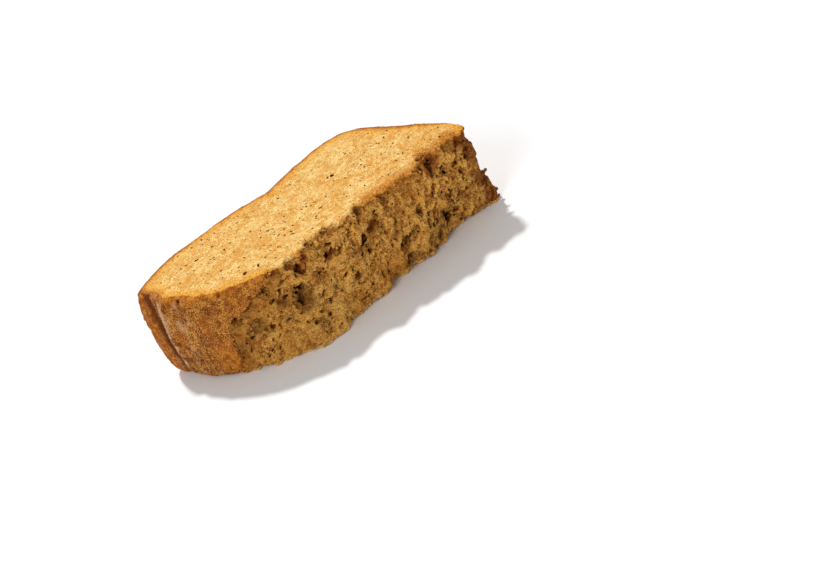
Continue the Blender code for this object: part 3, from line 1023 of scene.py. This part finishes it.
class Tree:
    """Short ways to make and join a material's nodes."""

    def __init__(self, name):
        self.material = bpy.data.materials.new(name)
        self.material.use_nodes = True
        self.nodes = self.material.node_tree.nodes
        self.links = self.material.node_tree.links
        self.shader = self.nodes["Principled BSDF"]
        self.place = self.nodes.new("ShaderNodeTexCoord").outputs["Object"]

    def join(self, value, socket):
        """Link a socket, or set a plain value."""
        if isinstance(value, bpy.types.NodeSocket):
            self.links.new(value, socket)
        elif isinstance(value, tuple) and len(value) == 3 and socket.type == "RGBA":
            socket.default_value = value + (1.0,)
        else:
            socket.default_value = value

    def math(self, operation, a, b):
        node = self.nodes.new("ShaderNodeMath")
        node.operation = operation
        self.join(a, node.inputs[0])
        self.join(b, node.inputs[1])
        return node.outputs[0]

    def times(self, a, b):
        return self.math("MULTIPLY", a, b)

    def plus(self, a, b):
        return self.math("ADD", a, b)

    def minus(self, a, b):
        return self.math("SUBTRACT", a, b)

    def band(self, value, low, high, out_low=0.0, out_high=1.0):
        """Go smoothly from out_low to out_high as value goes from low to high."""
        node = self.nodes.new("ShaderNodeMapRange")
        node.interpolation_type = "SMOOTHSTEP"
        self.join(value, node.inputs["Value"])
        node.inputs["From Min"].default_value = low
        node.inputs["From Max"].default_value = high
        node.inputs["To Min"].default_value = out_low
        node.inputs["To Max"].default_value = out_high
        return node.outputs["Result"]

    def mix(self, share, a, b):
        node = self.nodes.new("ShaderNodeMix")
        node.data_type = "RGBA"
        self.join(share, node.inputs[0])
        self.join(a, node.inputs[6])
        self.join(b, node.inputs[7])
        return node.outputs[2]

    def tint(self, base, colour, *span):
        """Lay a colour over a base, as much as a value's band says."""
        return self.mix(self.band(*span), base, colour)

    def moved(self, shift, stretch=(1.0, 1.0, 1.0)):
        """The place in the object, moved and stretched."""
        mapping = self.nodes.new("ShaderNodeMapping")
        self.join(self.place, mapping.inputs["Vector"])
        mapping.inputs["Scale"].default_value = stretch
        mapping.inputs["Location"].default_value = (shift, 0.7 * shift, 0.4 * shift)
        return mapping.outputs[0]

    def noise(self, size, detail=2.0, roughness=0.5, stretch=(1.0, 1.0, 1.0), shift=0.0):
        """Noise with bumps of a size in millimetres."""
        node = self.nodes.new("ShaderNodeTexNoise")
        self.join(self.moved(shift, stretch), node.inputs["Vector"])
        node.inputs["Scale"].default_value = 1.0 / (size * MM)
        node.inputs["Detail"].default_value = detail
        node.inputs["Roughness"].default_value = roughness
        return node.outputs["Fac"]

    def cells(self, size, shift):
        """Distance to scattered centres a size in millimetres apart, about 0 to 1."""
        node = self.nodes.new("ShaderNodeTexVoronoi")
        self.join(self.moved(shift), node.inputs["Vector"])
        node.inputs["Scale"].default_value = 1.0 / (size * MM)
        return node.outputs["Distance"]

    def value(self, name):
        """A number stored on the mesh."""
        node = self.nodes.new("ShaderNodeAttribute")
        node.attribute_name = name
        return node.outputs["Fac"]

    def bump(self, height, distance, below=None):
        """Fine relief of a depth in millimetres, laid over what is below it."""
        node = self.nodes.new("ShaderNodeBump")
        node.inputs["Distance"].default_value = distance * MM
        self.join(height, node.inputs["Height"])
        if below is not None:
            self.join(below, node.inputs["Normal"])
        return node.outputs["Normal"]

    def surface(self, colour, roughness, shine, normal=None):
        """Set the looks of the surface and hand back its material."""
        self.join(colour, self.shader.inputs["Base Color"])
        self.shader.inputs["Roughness"].default_value = roughness
        self.shader.inputs["Specular IOR Level"].default_value = shine
        if normal is not None:
            self.join(normal, self.shader.inputs["Normal"])
        return self.material


CUT_BRIGHT = (1.0, 0.79, 0.38)
CUT_PALE = (0.95, 0.68, 0.25)
CUT_MAIN = (0.87, 0.52, 0.12)
CUT_DEEP = (0.50, 0.19, 0.022)
CUT_ORANGE = (0.70, 0.30, 0.036)
CUT_FRECKLE = (0.36, 0.11, 0.016)
RIM_START = 0.6
RIM_GOLD = (0.92, 0.46, 0.060)
RIM_ORANGE = (0.62, 0.22, 0.022)
RIM_BROWN = (0.38, 0.11, 0.016)
LIP_GOLD = (0.70, 0.27, 0.026)
LIP_BROWN = (0.33, 0.10, 0.010)
RIM_DARK = (0.13, 0.032, 0.006)
TORN_BRIGHT = (1.0, 0.59, 0.155)
# The colour of the torn crumb's painted glints.
TORN_GLINT = (1.0, 0.70, 0.28)
TORN_PALE = (1.0, 0.49, 0.080)
TORN_MAIN = (0.76, 0.32, 0.040)
TORN_DEEP = (0.35, 0.10, 0.010)
TORN_DARK = (0.075, 0.020, 0.004)
TORN_OLIVE = (0.21, 0.078, 0.010)
TORN_BROWN = (0.44, 0.155, 0.020)
TORN_RED = (0.33, 0.078, 0.010)
TORN_ORANGE = (0.70, 0.27, 0.034)
CRUST_BRIGHT = (1.0, 0.50, 0.105)
CRUST_LIGHT = (0.86, 0.34, 0.052)
CRUST_MAIN = (0.50, 0.155, 0.018)
CRUST_DARK = (0.13, 0.030, 0.006)
CRUST_RED = (0.46, 0.105, 0.012)
CRUST_ORANGE = (0.86, 0.33, 0.035)
# Pale crust streaks, partly a painted sheen.
CRUST_GREY_SHEEN = (0.82, 0.50, 0.28)
SPECK_DARK = (0.034, 0.014, 0.005)
SPECK_BROWN = (0.12, 0.042, 0.010)
FLOOR_WHITE = (0.93, 0.93, 0.93)
CUT_BUMP = 0.30
CRUST_BUMP = 0.60
TORN_BUMP = 0.50


def cut_colour(tree, rim, blotch):
    """The pale golden cut face, mottled with flecks that are partly painted highlight, and darker
    towards the crust.
    """
    grain = tree.noise(0.62, 2.0, 0.6)
    speckle = tree.noise(0.40, 1.0, 0.5, shift=0.3)
    cut = tree.mix(tree.band(grain, 0.36, 0.60), CUT_DEEP, CUT_PALE)
    cut = tree.mix(0.25, cut, CUT_MAIN)
    # Pale flecks: partly the crumb's own pale grain, partly painted highlight.
    cut = tree.tint(cut, CUT_BRIGHT, speckle, 0.53, 0.66, 0.0, 1.0)
    cut = tree.tint(cut, CUT_ORANGE, speckle, 0.33, 0.45, 0.95, 0.0)
    dapple = tree.noise(1.5, 2.0, 0.55, shift=6.1)
    cut = tree.tint(cut, CUT_ORANGE, dapple, 0.48, 0.64, 0.0, 0.7)
    cut = tree.tint(cut, CUT_PALE, dapple, 0.34, 0.46, 0.4, 0.0)
    cut = tree.tint(cut, CUT_ORANGE, blotch, 0.45, 0.66, 0.0, 0.5)
    broad = tree.noise(9.0, 2.0, 0.5, shift=8.3)
    cut = tree.tint(cut, CUT_ORANGE, broad, 0.50, 0.68, 0.0, 0.35)
    cut = tree.tint(cut, CUT_PALE, broad, 0.32, 0.48, 0.35, 0.0)
    freckle = tree.noise(1.1, 2.0, 0.55, shift=1.9)
    cut = tree.tint(cut, CUT_FRECKLE, freckle, 0.62, 0.71, 0.0, 0.75)
    gold = tree.mix(tree.band(grain, 0.36, 0.60), LIP_BROWN, LIP_GOLD)
    cut = tree.mix(tree.value("lip"), cut, gold)
    gold = tree.mix(tree.band(grain, 0.36, 0.60), RIM_ORANGE, RIM_GOLD)
    cut = tree.tint(cut, gold, rim, 0.2, 6.0, 0.95, 0.0)
    line = tree.times(tree.band(rim, 0.1, 2.4, 0.95, 0.0), tree.value("back"))
    return tree.mix(line, cut, RIM_BROWN), grain


def torn_colour(tree, rim):
    """Open crumb: pale on its peaks with painted highlight, red-brown and dark in its hollows with
    painted shade.
    """
    hollow = tree.value("hollow")
    cavity = tree.value("cavity")
    grain = tree.noise(0.5, 2.0, 0.6, shift=2.3)
    clump = tree.plus(tree.cells(0.95, shift=1.1), tree.times(grain, 0.9))
    crumb = tree.mix(tree.band(clump, 0.64, 1.10), TORN_PALE, TORN_DEEP)
    crumb = tree.mix(0.35, crumb, TORN_MAIN)
    patch = tree.noise(5.0, 2.0, 0.5, shift=3.1)
    crumb = tree.tint(crumb, TORN_OLIVE, patch, 0.52, 0.66, 0.0, 0.8)
    crumb = tree.tint(crumb, TORN_PALE, patch, 0.34, 0.50, 0.75, 0.0)
    shade = tree.noise(2.2, 2.0, 0.5, shift=4.7)
    crumb = tree.tint(crumb, TORN_DEEP, shade, 0.54, 0.66, 0.0, 0.8)
    crumb = tree.tint(crumb, TORN_BRIGHT, shade, 0.34, 0.46, 0.8, 0.0)
    # Painted highlight: paler where the crumb bulges out of its broad hollows.
    crumb = tree.tint(crumb, TORN_PALE, cavity, -0.9, -0.1, 0.5, 0.0)
    # Painted highlight on the crests beside the small hollows, broken up by the grain.
    lit = tree.band(grain, 0.38, 0.60, 0.25, 0.95)
    crest_highlight = tree.times(tree.band(hollow, -0.32, 0.02, 1.0, 0.0), lit)
    crumb = tree.mix(crest_highlight, crumb, TORN_PALE)
    # Painted highlight on the flakes that stand out, from the patches stored as pale.
    crumb = tree.mix(tree.times(tree.value("pale"), lit), crumb, TORN_BRIGHT)
    # Painted shade: deeper brown in the small hollows.
    crumb = tree.tint(crumb, TORN_DEEP, hollow, 0.0, 0.35, 0.0, 0.8)
    speckle = tree.noise(0.34, 2.0, 0.6, shift=5.2)
    # Fine pale granules, partly the crumb's own tone and partly painted highlight.
    crumb = tree.tint(crumb, TORN_BRIGHT, speckle, 0.51, 0.62, 0.0, 0.95)
    crumb = tree.tint(crumb, TORN_DEEP, speckle, 0.36, 0.46, 0.6, 0.0)
    red = tree.noise(4.0, 2.0, 0.5, shift=9.4)
    crumb = tree.tint(crumb, TORN_RED, red, 0.56, 0.70, 0.0, 0.6)
    crumb = tree.mix(tree.times(tree.value("near_crust"), 0.7), crumb, TORN_BROWN)
    crumb = tree.mix(tree.value("warm"), crumb, TORN_ORANGE)
    # Painted shade: olive in the broad hollows.
    crumb = tree.tint(crumb, TORN_OLIVE, cavity, 0.15, 1.1, 0.0, 0.75)
    # Painted shade: olive patches over the deepest hollows.
    crumb = tree.mix(tree.value("dark"), crumb, TORN_OLIVE)
    # Painted glints: small bright flecks on the crumb.
    glint = tree.noise(0.42, 1.0, 0.5, shift=8.8)
    crumb = tree.tint(crumb, TORN_GLINT, glint, 0.68, 0.76, 0.0, 0.8)
    gold = tree.mix(tree.band(clump, 0.60, 1.05), LIP_GOLD, LIP_BROWN)
    crumb = tree.mix(tree.value("lip"), crumb, gold)
    # Red-brown in the listed chips and hollows: partly baked banana, partly painted shade.
    crumb = tree.mix(tree.value("red"), crumb, TORN_RED)
    # Painted shade: darkest in the deepest small and broad hollows.
    crumb = tree.tint(crumb, TORN_DARK, hollow, 0.18, 0.52, 0.0, 0.9)
    crumb = tree.tint(crumb, TORN_DARK, cavity, 0.9, 2.2, 0.0, 0.8)
    brown = tree.mix(tree.band(grain, 0.40, 0.60), RIM_DARK, RIM_BROWN)
    crumb = tree.tint(crumb, brown, rim, 0.6, 4.6, 0.92, 0.0)
    granules = tree.times(tree.cells(0.5, shift=7.3), 0.6)
    clump = tree.plus(clump, granules)
    return crumb, tree.minus(tree.times(speckle, 0.6), clump)


def crust_colour(tree):
    """Browned crust, beaded and streaked, golden at its top and darkest in its groove."""
    fold = tree.value("fold")
    bead = tree.noise(1.7, 5.0, 0.74, shift=4.2)
    brown = tree.mix(tree.band(bead, 0.37, 0.63), CRUST_DARK, CRUST_LIGHT)
    brown = tree.mix(0.4, brown, CRUST_MAIN)
    speckle = tree.noise(0.36, 2.0, 0.6, shift=5.9)
    # Bright flecks on the beads: partly paler crust, partly painted glints.
    brown = tree.tint(brown, CRUST_BRIGHT, speckle, 0.53, 0.63, 0.0, 1.0)
    brown = tree.tint(brown, CRUST_DARK, speckle, 0.36, 0.46, 0.9, 0.0)
    tone = tree.noise(4.5, 3.0, 0.6, shift=5.5)
    brown = tree.tint(brown, CRUST_DARK, tone, 0.42, 0.68, 0.0, 0.55)
    red = tree.noise(6.0, 2.0, 0.5, shift=7.7)
    brown = tree.tint(brown, CRUST_RED, red, 0.48, 0.68, 0.0, 0.5)
    orange = tree.mix(tree.band(bead, 0.38, 0.60), CRUST_RED, CRUST_ORANGE)
    brown = tree.mix(tree.value("warm"), brown, orange)
    streak = tree.noise(1.6, 3.0, 0.6, stretch=(1.0, 1.0, 0.3), shift=2.9)
    pale = tree.times(tree.band(streak, 0.54, 0.68), tree.value("streaky"))
    broken = tree.times(fold, tree.band(streak, 0.34, 0.50, 0.4, 1.0))
    pale = tree.math("MAXIMUM", tree.times(pale, 0.7), tree.band(broken, 0.15, 0.75))
    pale = tree.times(pale, tree.band(bead, 0.34, 0.54, 0.3, 0.9))
    # Pale grey streaks and ridge: partly paler crust, partly a painted sheen.
    brown = tree.mix(pale, brown, CRUST_GREY_SHEEN)
    dusk = tree.times(tree.band(streak, 0.34, 0.46, 0.5, 0.0), tree.value("streaky"))
    brown = tree.mix(dusk, brown, CRUST_DARK)
    spots = tree.band(tree.noise(1.2, 2.0, 0.6, shift=6.6), 0.50, 0.66)
    dark_bead = tree.mix(spots, CRUST_RED, CRUST_ORANGE)
    brown = tree.mix(tree.times(tree.value("dusky"), 0.6), brown, dark_bead)
    brown = tree.tint(brown, CRUST_DARK, fold, -0.8, -0.15, 0.9, 0.0)
    # Painted shade: darker in the crust's hollows and pits.
    shade = tree.band(tree.value("hollow"), 0.05, 0.5, 0.0, 0.8)
    brown = tree.mix(shade, brown, CRUST_DARK)
    pearls = tree.minus(1.0, tree.cells(0.6, shift=3.3))
    grain = tree.plus(tree.times(pearls, 0.5), tree.times(speckle, 0.6))
    return brown, tree.plus(grain, bead)


def bread_material():
    """Golden cut faces, darker torn crumb and browned crust in one skin."""
    tree = Tree("banana_bread")
    blotch = tree.noise(3.0, 3.0, 0.6, shift=0.7)
    uneven = tree.times(tree.minus(blotch, 0.5), 1.6)
    rim = tree.plus(tree.minus(tree.value("rim"), RIM_START), uneven)
    cut, grain = cut_colour(tree, rim, blotch)
    end = tree.plus(tree.value("end_rim"), tree.times(uneven, 2.2))
    torn, clump = torn_colour(tree, end)
    crust, bead = crust_colour(tree)
    on_crust = tree.band(tree.value("rim"), RIM_START, RIM_START + 0.4, 1.0, 0.0)
    colour = tree.mix(on_crust, cut, crust)
    ragged = tree.times(tree.minus(bead, 1.15), 0.8)
    torn_part = tree.band(tree.plus(tree.value("torn"), ragged), 0.38, 0.62)
    colour = tree.mix(torn_part, colour, torn)
    on_crust = tree.times(on_crust, tree.minus(1.0, torn_part))
    normal = tree.bump(grain, CUT_BUMP)
    normal = tree.bump(tree.times(on_crust, bead), CRUST_BUMP, normal)
    normal = tree.bump(tree.times(torn_part, clump), TORN_BUMP, normal)
    return tree.surface(colour, 0.8, 0.1, normal)


def speck_material():
    """Almost black bits of banana, browner in places."""
    tree = Tree("banana_specks")
    shade = tree.noise(0.7, 2.0, 0.5)
    colour = tree.mix(tree.band(shade, 0.42, 0.66), SPECK_DARK, SPECK_BROWN)
    return tree.surface(colour, 0.8, 0.04, tree.bump(shade, 0.1))


class Bits:
    """Gathers many small shapes into one mesh."""

    def __init__(self, seed):
        self.draw = np.random.default_rng(seed)
        self.corners = []
        self.faces = []
        self.count = 0
        ball = bmesh.new()
        bmesh.ops.create_icosphere(ball, subdivisions=2, radius=1.0)
        self.ball = np.array([vertex.co for vertex in ball.verts])
        self.ball_faces = np.array([[vertex.index for vertex in face.verts] for face in ball.faces])
        ball.free()

    def add(self, corners, faces):
        self.corners.append(np.clip(corners, cad_low, cad_high))
        self.faces.append(faces + self.count)
        self.count += len(corners)

    def lump(self, centre, radii, lie):
        """An uneven lump that lies flat against the surface whose outward way is given."""
        rough = 1.0 + 0.22 * self.draw.normal(size=(len(self.ball), 1)).clip(-1.5, 1.5)
        turn = self.draw.uniform(0.0, 2.0 * math.pi)
        spin = Matrix.Rotation(turn, 3, "Z")
        tilt = Vector(lie).to_track_quat("Z", "Y").to_matrix()
        self.add((self.ball * rough * radii) @ np.array(tilt @ spin).T + centre, self.ball_faces)

    def fibre(self, path, radius):
        """A thin strand through the given places, thinner at its ends."""
        sides = 6
        angles = 2.0 * math.pi * np.arange(sides) / sides
        rings = []
        for i, place in enumerate(path):
            along = path[min(i + 1, len(path) - 1)] - path[max(i - 1, 0)]
            across = np.cross(along, (0.31, 0.52, 0.79))
            across /= np.linalg.norm(across)
            other = np.cross(along, across)
            other /= np.linalg.norm(other)
            swell = radius * (0.45 + 0.55 * math.sin(math.pi * (i + 0.5) / len(path)))
            circle = np.cos(angles)[:, None] * across + np.sin(angles)[:, None] * other
            rings.append(place + swell * circle)
        tips = [path[0], path[-1]]
        corners = np.concatenate(rings + [np.array(tips)])
        faces = []
        last = sides * (len(path) - 1)
        for k in range(sides):
            after = (k + 1) % sides
            for i in range(len(path) - 1):
                a, b = sides * i + k, sides * i + after
                faces += [(a, a + sides, b), (b, a + sides, b + sides)]
            faces.append((len(corners) - 2, k, after))
            faces.append((len(corners) - 1, last + after, last + k))
        self.add(corners, np.array(faces))

    def piece(self, name):
        return mesh_object(name, np.concatenate(self.corners), np.concatenate(self.faces))


def face_at(heights, level, x, y):
    """The z of a cut face at one place, or nothing beside it."""
    z = heights[grid_index(x, 0), grid_index(y, 1)]
    return z if abs(z - level) < FACE_UNEVEN else None


def cut_specks(specks, draw, field, heights, level, side):
    """Small specks scattered over a cut face, clear of its edges."""
    count, *sizes = CUT_SPECKS
    for _ in range(count):
        x = draw.uniform(cad_low[0] + CUT_SPECK_EDGE, cad_high[0] - CUT_SPECK_EDGE)
        y = draw.uniform(cad_low[1] + CUT_SPECK_EDGE, cad_high[1] - CUT_SPECK_EDGE)
        radius = draw_radius(draw, sizes)
        long = draw.uniform(*CUT_SPECK_LENGTHS)
        z = face_at(heights, level, x, y)
        inner = np.array([(x, y, level - side * (SPECK_MARGIN + 0.5))])
        if z is not None and sample(field, inner)[0] < -SPECK_MARGIN:
            lift = 0.0 if side > 0.0 else 0.6 * radius
            specks.lump((x, y, z + lift), (long * radius, radius, 0.5 * radius), (0.0, 0.0, side))


def torn_specks(specks, draw, front):
    """Small specks scattered over the tear."""
    count, *sizes = TORN_SPECKS
    for _ in range(count):
        x, z = tear_place(draw, TORN_SPECK_MARGINS)
        radius = draw_radius(draw, sizes)
        long = draw.uniform(*TORN_SPECK_LENGTHS)
        place = (x, front_at(front, x, z), z)
        specks.lump(place, (long * radius, radius, 0.6 * radius), (0.0, -1.0, 0.2))


def random_fibres(specks, draw, front):
    """Short fibres scattered over the tear."""
    for _ in range(RANDOM_FIBRES):
        x, z = tear_place(draw, FIBRE_MARGINS)
        angle = draw.uniform(*FIBRE_ANGLES)
        path = front_path(front, x, z, draw.uniform(*FIBRE_LENGTHS), angle, draw.uniform(*FIBRE_BENDS))
        specks.fibre(path, FIBRE_RADIUS * draw.uniform(*FIBRE_SPREAD))


def dark_bits(field):
    """Banana specks and fibres in the cut faces and in the tear."""
    top = first_surface(field, 2, upwards=False)
    bottom = first_surface(field, 2)
    front = front_face(field)
    specks = Bits(SHAPE_SEED)
    for x, y, *size in SPECKS:
        length, width = size or SPECK_SIZE
        z = face_at(top, cad_high[2], x, y)
        if z is not None:
            specks.lump((x, y, z), (length, width, 0.5 * width), (0.0, 0.0, 1.0))
    draw = np.random.default_rng(SPECK_SEED)
    cut_specks(specks, draw, field, top, cad_high[2], 1.0)
    cut_specks(specks, draw, field, bottom, cad_low[2], -1.0)
    torn_specks(specks, draw, front)
    for x, z, *run in TORN_FIBRES:
        specks.fibre(front_path(front, x, z, *run), FIBRE_RADIUS)
    random_fibres(specks, draw, front)
    for x, y, *run in CUT_FIBRES:
        specks.fibre(top_path(top, x, y, *run), FIBRE_RADIUS)
    piece = specks.piece("banana_specks")
    piece.data.shade_smooth()
    piece.data.materials.append(speck_material())
    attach(piece, BODY)


def bent_line(length, angle, bend, count=8):
    """Places along a flat line that starts at an angle and turns by the bend, in degrees."""
    steps = np.arange(count) / (count - 1)
    turn = np.radians(angle + bend * steps)
    line = np.stack([np.cos(turn), np.sin(turn)], axis=1) * length / count
    line = np.cumsum(line, axis=0)
    return line - line[count // 2]


def front_path(front, x, z, length, angle, bend):
    """A bent line laid on the torn side."""
    line = bent_line(length, angle, bend) + (x, z)
    depths = np.array([front_at(front, px, pz) for px, pz in line])
    depths = 0.9 * depths + 0.1 * depths.min()
    return np.stack([line[:, 0], depths - 0.05, line[:, 1]], axis=1)


def top_path(top, x, y, length, angle, bend):
    """A bent line laid on the upper cut face."""
    line = bent_line(length, angle, bend) + (x, y)
    heights = [face_at(top, cad_high[2], px, py) or cad_high[2] - 0.2 for px, py in line]
    return np.stack([line[:, 0], line[:, 1], np.array(heights)], axis=1)


def bread_half():
    """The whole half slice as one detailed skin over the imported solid."""
    base = refine(even_out(solid_distance()))
    front = front_face(base)
    field = base - GROWTH
    tear_waves(field, front)
    for *ends, thickness in THORNS:
        add_thorn(field, ends[:3], ends[3:], thickness)
    named_hollows(field, front)
    worn_edge(field, base)
    front = front_face(field)
    tear_crumb(field, front)
    crust_and_cut(field, front)
    open_bubbles(field, front)
    loose_flakes(field, front)
    edge_chips(field, front)
    lower_fringe(field, front)
    small_pores(field)
    field = keep_in_box(field)
    corners, faces = largest_shell(*surface_net(field))
    piece = mesh_object("bread", corners, faces)
    thin_out(piece, BODY_TRIANGLES)
    stay_in_box(piece.data)
    colour_values(piece.data, field, front)
    piece.data.shade_smooth()
    piece.data.materials.append(bread_material())
    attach(piece, BODY)
    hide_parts(NODE)
    return field


def softened(field, limit, passes, stride=1):
    """The field near the surface, evened out, on all grid points or on fewer."""
    soft = np.clip(field, -limit, limit)[::stride, ::stride, ::stride]
    for _ in range(passes):
        soft = even_out(soft)
    return soft


def lip_at(places, front, wobble):
    """The darker golden lip along the upper edge of the tear and at its far tip."""
    x, y, z = places.T
    below = (cad_high[2] - z).clip(0.0)
    behind = (y - front_at(front, x, np.minimum(z, cad_high[2] - LIP_LEVEL))).clip(0.0)
    broad = smooth(*WIDE_BEGINS, x)
    ragged = (1.0 + 0.6 * wobble).clip(0.2, 2.0)
    lip = np.exp(-(below / (ragged * (1.0 + 1.2 * broad))) ** 2)
    lip *= np.exp(-(behind / (ragged * (1.2 + 3.6 * broad))) ** 3)
    tip = np.linalg.norm(places - LIP_TIP, axis=1) + wobble
    return np.maximum(lip * smooth(*LIP_BEGINS, x), np.exp(-(tip / LIP_TIP_RADIUS) ** 2))


def colour_values(mesh, field, front):
    """Store on the mesh what its material needs to know of each place."""
    places = corner_places(mesh)
    x, y, z = places.T
    below = cad_high[2] - z
    down = cut_depth(z)
    wobble = ripple(places, COLOUR_WOBBLE)
    rim = rim_distance(places, front)
    torn = smooth(*SIDE_BEGINS, down) * np.maximum(torn_share(places, front), smooth(*RIM_BEGINS, rim))
    face = 1.0 - smooth(*FACE_ENDS, down)
    back = smooth(*BACK_BEGINS, y + BACK_LEAN * x + BACK_SHIFT * smooth(*DOME_BEGINS, x))
    dusky = smooth(*DUSKY_BEGINS, y + wobble) * (1.0 - smooth(*DUSKY_ENDS, x))
    warm = 0.8 * (1.0 - torn) * (1.0 - smooth(*WARM_ENDS, below + 1.3 * wobble)) * (1.0 - dusky)
    red = [(*place, RED_SHARE) for place in RED_HOLLOWS]
    values = {
        # How deep each place lies in small and broad hollows; the material paints shade into them and
        # highlight onto the crests between.
        "hollow": -sample(softened(field, HOLLOW_LIMIT, HOLLOW_PASSES), places),
        "cavity": -sample(softened(field, FAR, WIDE_PASSES, WIDE_STRIDE), places, WIDE_STRIDE * STEP),
        "torn": torn,
        "rim": rim * (1.7 - 0.7 * back) * np.maximum(face, torn),
        "near_crust": np.exp(-(rim / BROWN_REACH) ** 2) * (1.0 - smooth(*BROWN_ENDS, x)),
        "end_rim": rim + END_SHIFT * (1.0 - smooth(*END_BEGINS, x)),
        "fold": fold_share(places),
        "back": back,
        "lip": 0.95 * lip_at(places, front, wobble),
        "warm": np.maximum(warm, patch_share(places, WARM_PATCHES, wobble)),
        # Painted shade over the deepest hollows.
        "dark": patch_share(places, SHADE_PATCHES, wobble),
        # Painted highlight on the flakes that stand out.
        "pale": patch_share(places, HIGHLIGHT_PATCHES, wobble),
        "red": patch_share(places, red, wobble, RED_WOBBLE, 4),
        "streaky": 1.0 - smooth(*STREAKS_END, x + 1.5 * wobble),
        "dusky": dusky,
    }
    for name, share in values.items():
        layer = mesh.attributes.new(name, "FLOAT", "POINT")
        layer.data.foreach_set("value", np.asarray(share, np.float32))


def patch_share(places, patches, wobble, uneven=PATCH_WOBBLE, power=2):
    """How strongly each place takes part in soft round patches with uneven edges."""
    share = np.zeros(len(places))
    for x, y, z, radius, strength in patches:
        gap = np.linalg.norm(places - (x, y, z), axis=1) + uneven * radius * wobble
        share = np.maximum(share, strength * np.exp(-(gap / radius) ** power))
    return share


def rim_distance(places, front):
    """How far each place lies in from the crust, in millimetres."""
    corners, faces = solid_faces()
    spans = np.array(corners)[np.array(faces)]
    normals = np.cross(spans[:, 1] - spans[:, 0], spans[:, 2] - spans[:, 0])
    normals /= np.maximum(np.linalg.norm(normals, axis=1, keepdims=True), 1e-9)
    middles = spans.mean(axis=1)
    torn = (torn_share(middles, front) > 0.5) & (middles[:, 0] < DOME_CRUST)
    crust = (np.abs(normals[:, 2]) < STEEP) & ~torn
    tree = BVHTree.FromPolygons(corners, [faces[i] for i in np.nonzero(crust)[0]])
    gaps = []
    for place in places:
        found = tree.find_nearest(Vector(place), RIM_REACH)
        gaps.append(RIM_REACH if found[0] is None else found[3])
    return np.array(gaps)


def fold_share(places):
    """1 along the crust's pale ridges, -1 in its dark groove."""
    share = np.exp(-(line_distance(places, RIDGE) / RIDGE_WIDTH) ** 2)
    second = np.exp(-(line_distance(places, SECOND_RIDGE) / RIDGE_WIDTH) ** 2)
    share = np.maximum(share, SECOND_RIDGE_SHARE * second)
    return share - np.exp(-(line_distance(places, GROOVE) / GROOVE_WIDTH) ** 2)


def floor():
    """A plain pale floor, which isn't part of the object."""
    bpy.ops.mesh.primitive_plane_add(size=8.0)
    plane = bpy.context.object
    plane.name = "floor"
    plane.data.materials.append(Tree("floor").surface(FLOOR_WHITE, 0.9, 0.1))


SUN_TOWARDS = (0.08, 0.56, 0.82)
SUN_STRENGTH = 2.35
SUN_WIDTH = 5.0
PANEL_TOWARDS = (-0.65, -0.65, 0.75)
PANEL_DISTANCE = 0.9
PANEL_SIZE = 0.35
PANEL_POWER = 2.0
FILL_STRENGTH = 0.40


def place_light(name, kind, towards, strength):
    """A light of a kind that shines from a direction."""
    lamp = bpy.data.objects.new(name, bpy.data.lights.new(name, kind))
    lamp.data.energy = strength
    lamp.rotation_euler = Vector(towards).to_track_quat("Z", "Y").to_euler()
    bpy.context.scene.collection.objects.link(lamp)
    return lamp


def lights():
    """A soft key light from behind, a broad weak one from the front, and even white light."""
    key = place_light("key", "SUN", SUN_TOWARDS, SUN_STRENGTH)
    key.data.angle = math.radians(SUN_WIDTH)
    panel = place_light("front_panel", "AREA", PANEL_TOWARDS, PANEL_POWER)
    panel.data.shape = "SQUARE"
    panel.data.size = PANEL_SIZE
    panel.location = Vector(PANEL_TOWARDS).normalized() * PANEL_DISTANCE
    world = bpy.data.worlds.new("studio")
    world.use_nodes = True
    background = world.node_tree.nodes["Background"]
    background.inputs["Color"].default_value = (1.0, 1.0, 1.0, 1.0)
    background.inputs["Strength"].default_value = FILL_STRENGTH
    bpy.context.scene.world = world


CAMERA_PLACE = (-222.05, -963.92, 527.96)
CAMERA_RIGHT = (0.7856, -0.4403, -0.4346)
CAMERA_UP = (0.5813, 0.2851, 0.7621)
CAMERA_BACK = (-0.2116, -0.8514, 0.4800)
LENS = 177.7
SENSOR = 36.0


def camera():
    """The photograph's view, turned so that the lying half keeps the lean it has there."""
    lens = bpy.data.cameras.new("view")
    lens.lens = LENS
    lens.sensor_width = SENSOR
    lens.clip_start = 0.05
    lens.clip_end = 20.0
    eye = bpy.data.objects.new("view", lens)
    turn = Matrix((CAMERA_RIGHT, CAMERA_UP, CAMERA_BACK)).transposed()
    eye.matrix_world = Matrix.Translation(Vector(CAMERA_PLACE) * MM) @ turn.to_4x4()
    bpy.context.scene.collection.objects.link(eye)
    bpy.context.scene.camera = eye


dark_bits(bread_half())
floor()
lights()
camera()
bpy.context.scene.view_settings.view_transform = "Standard"
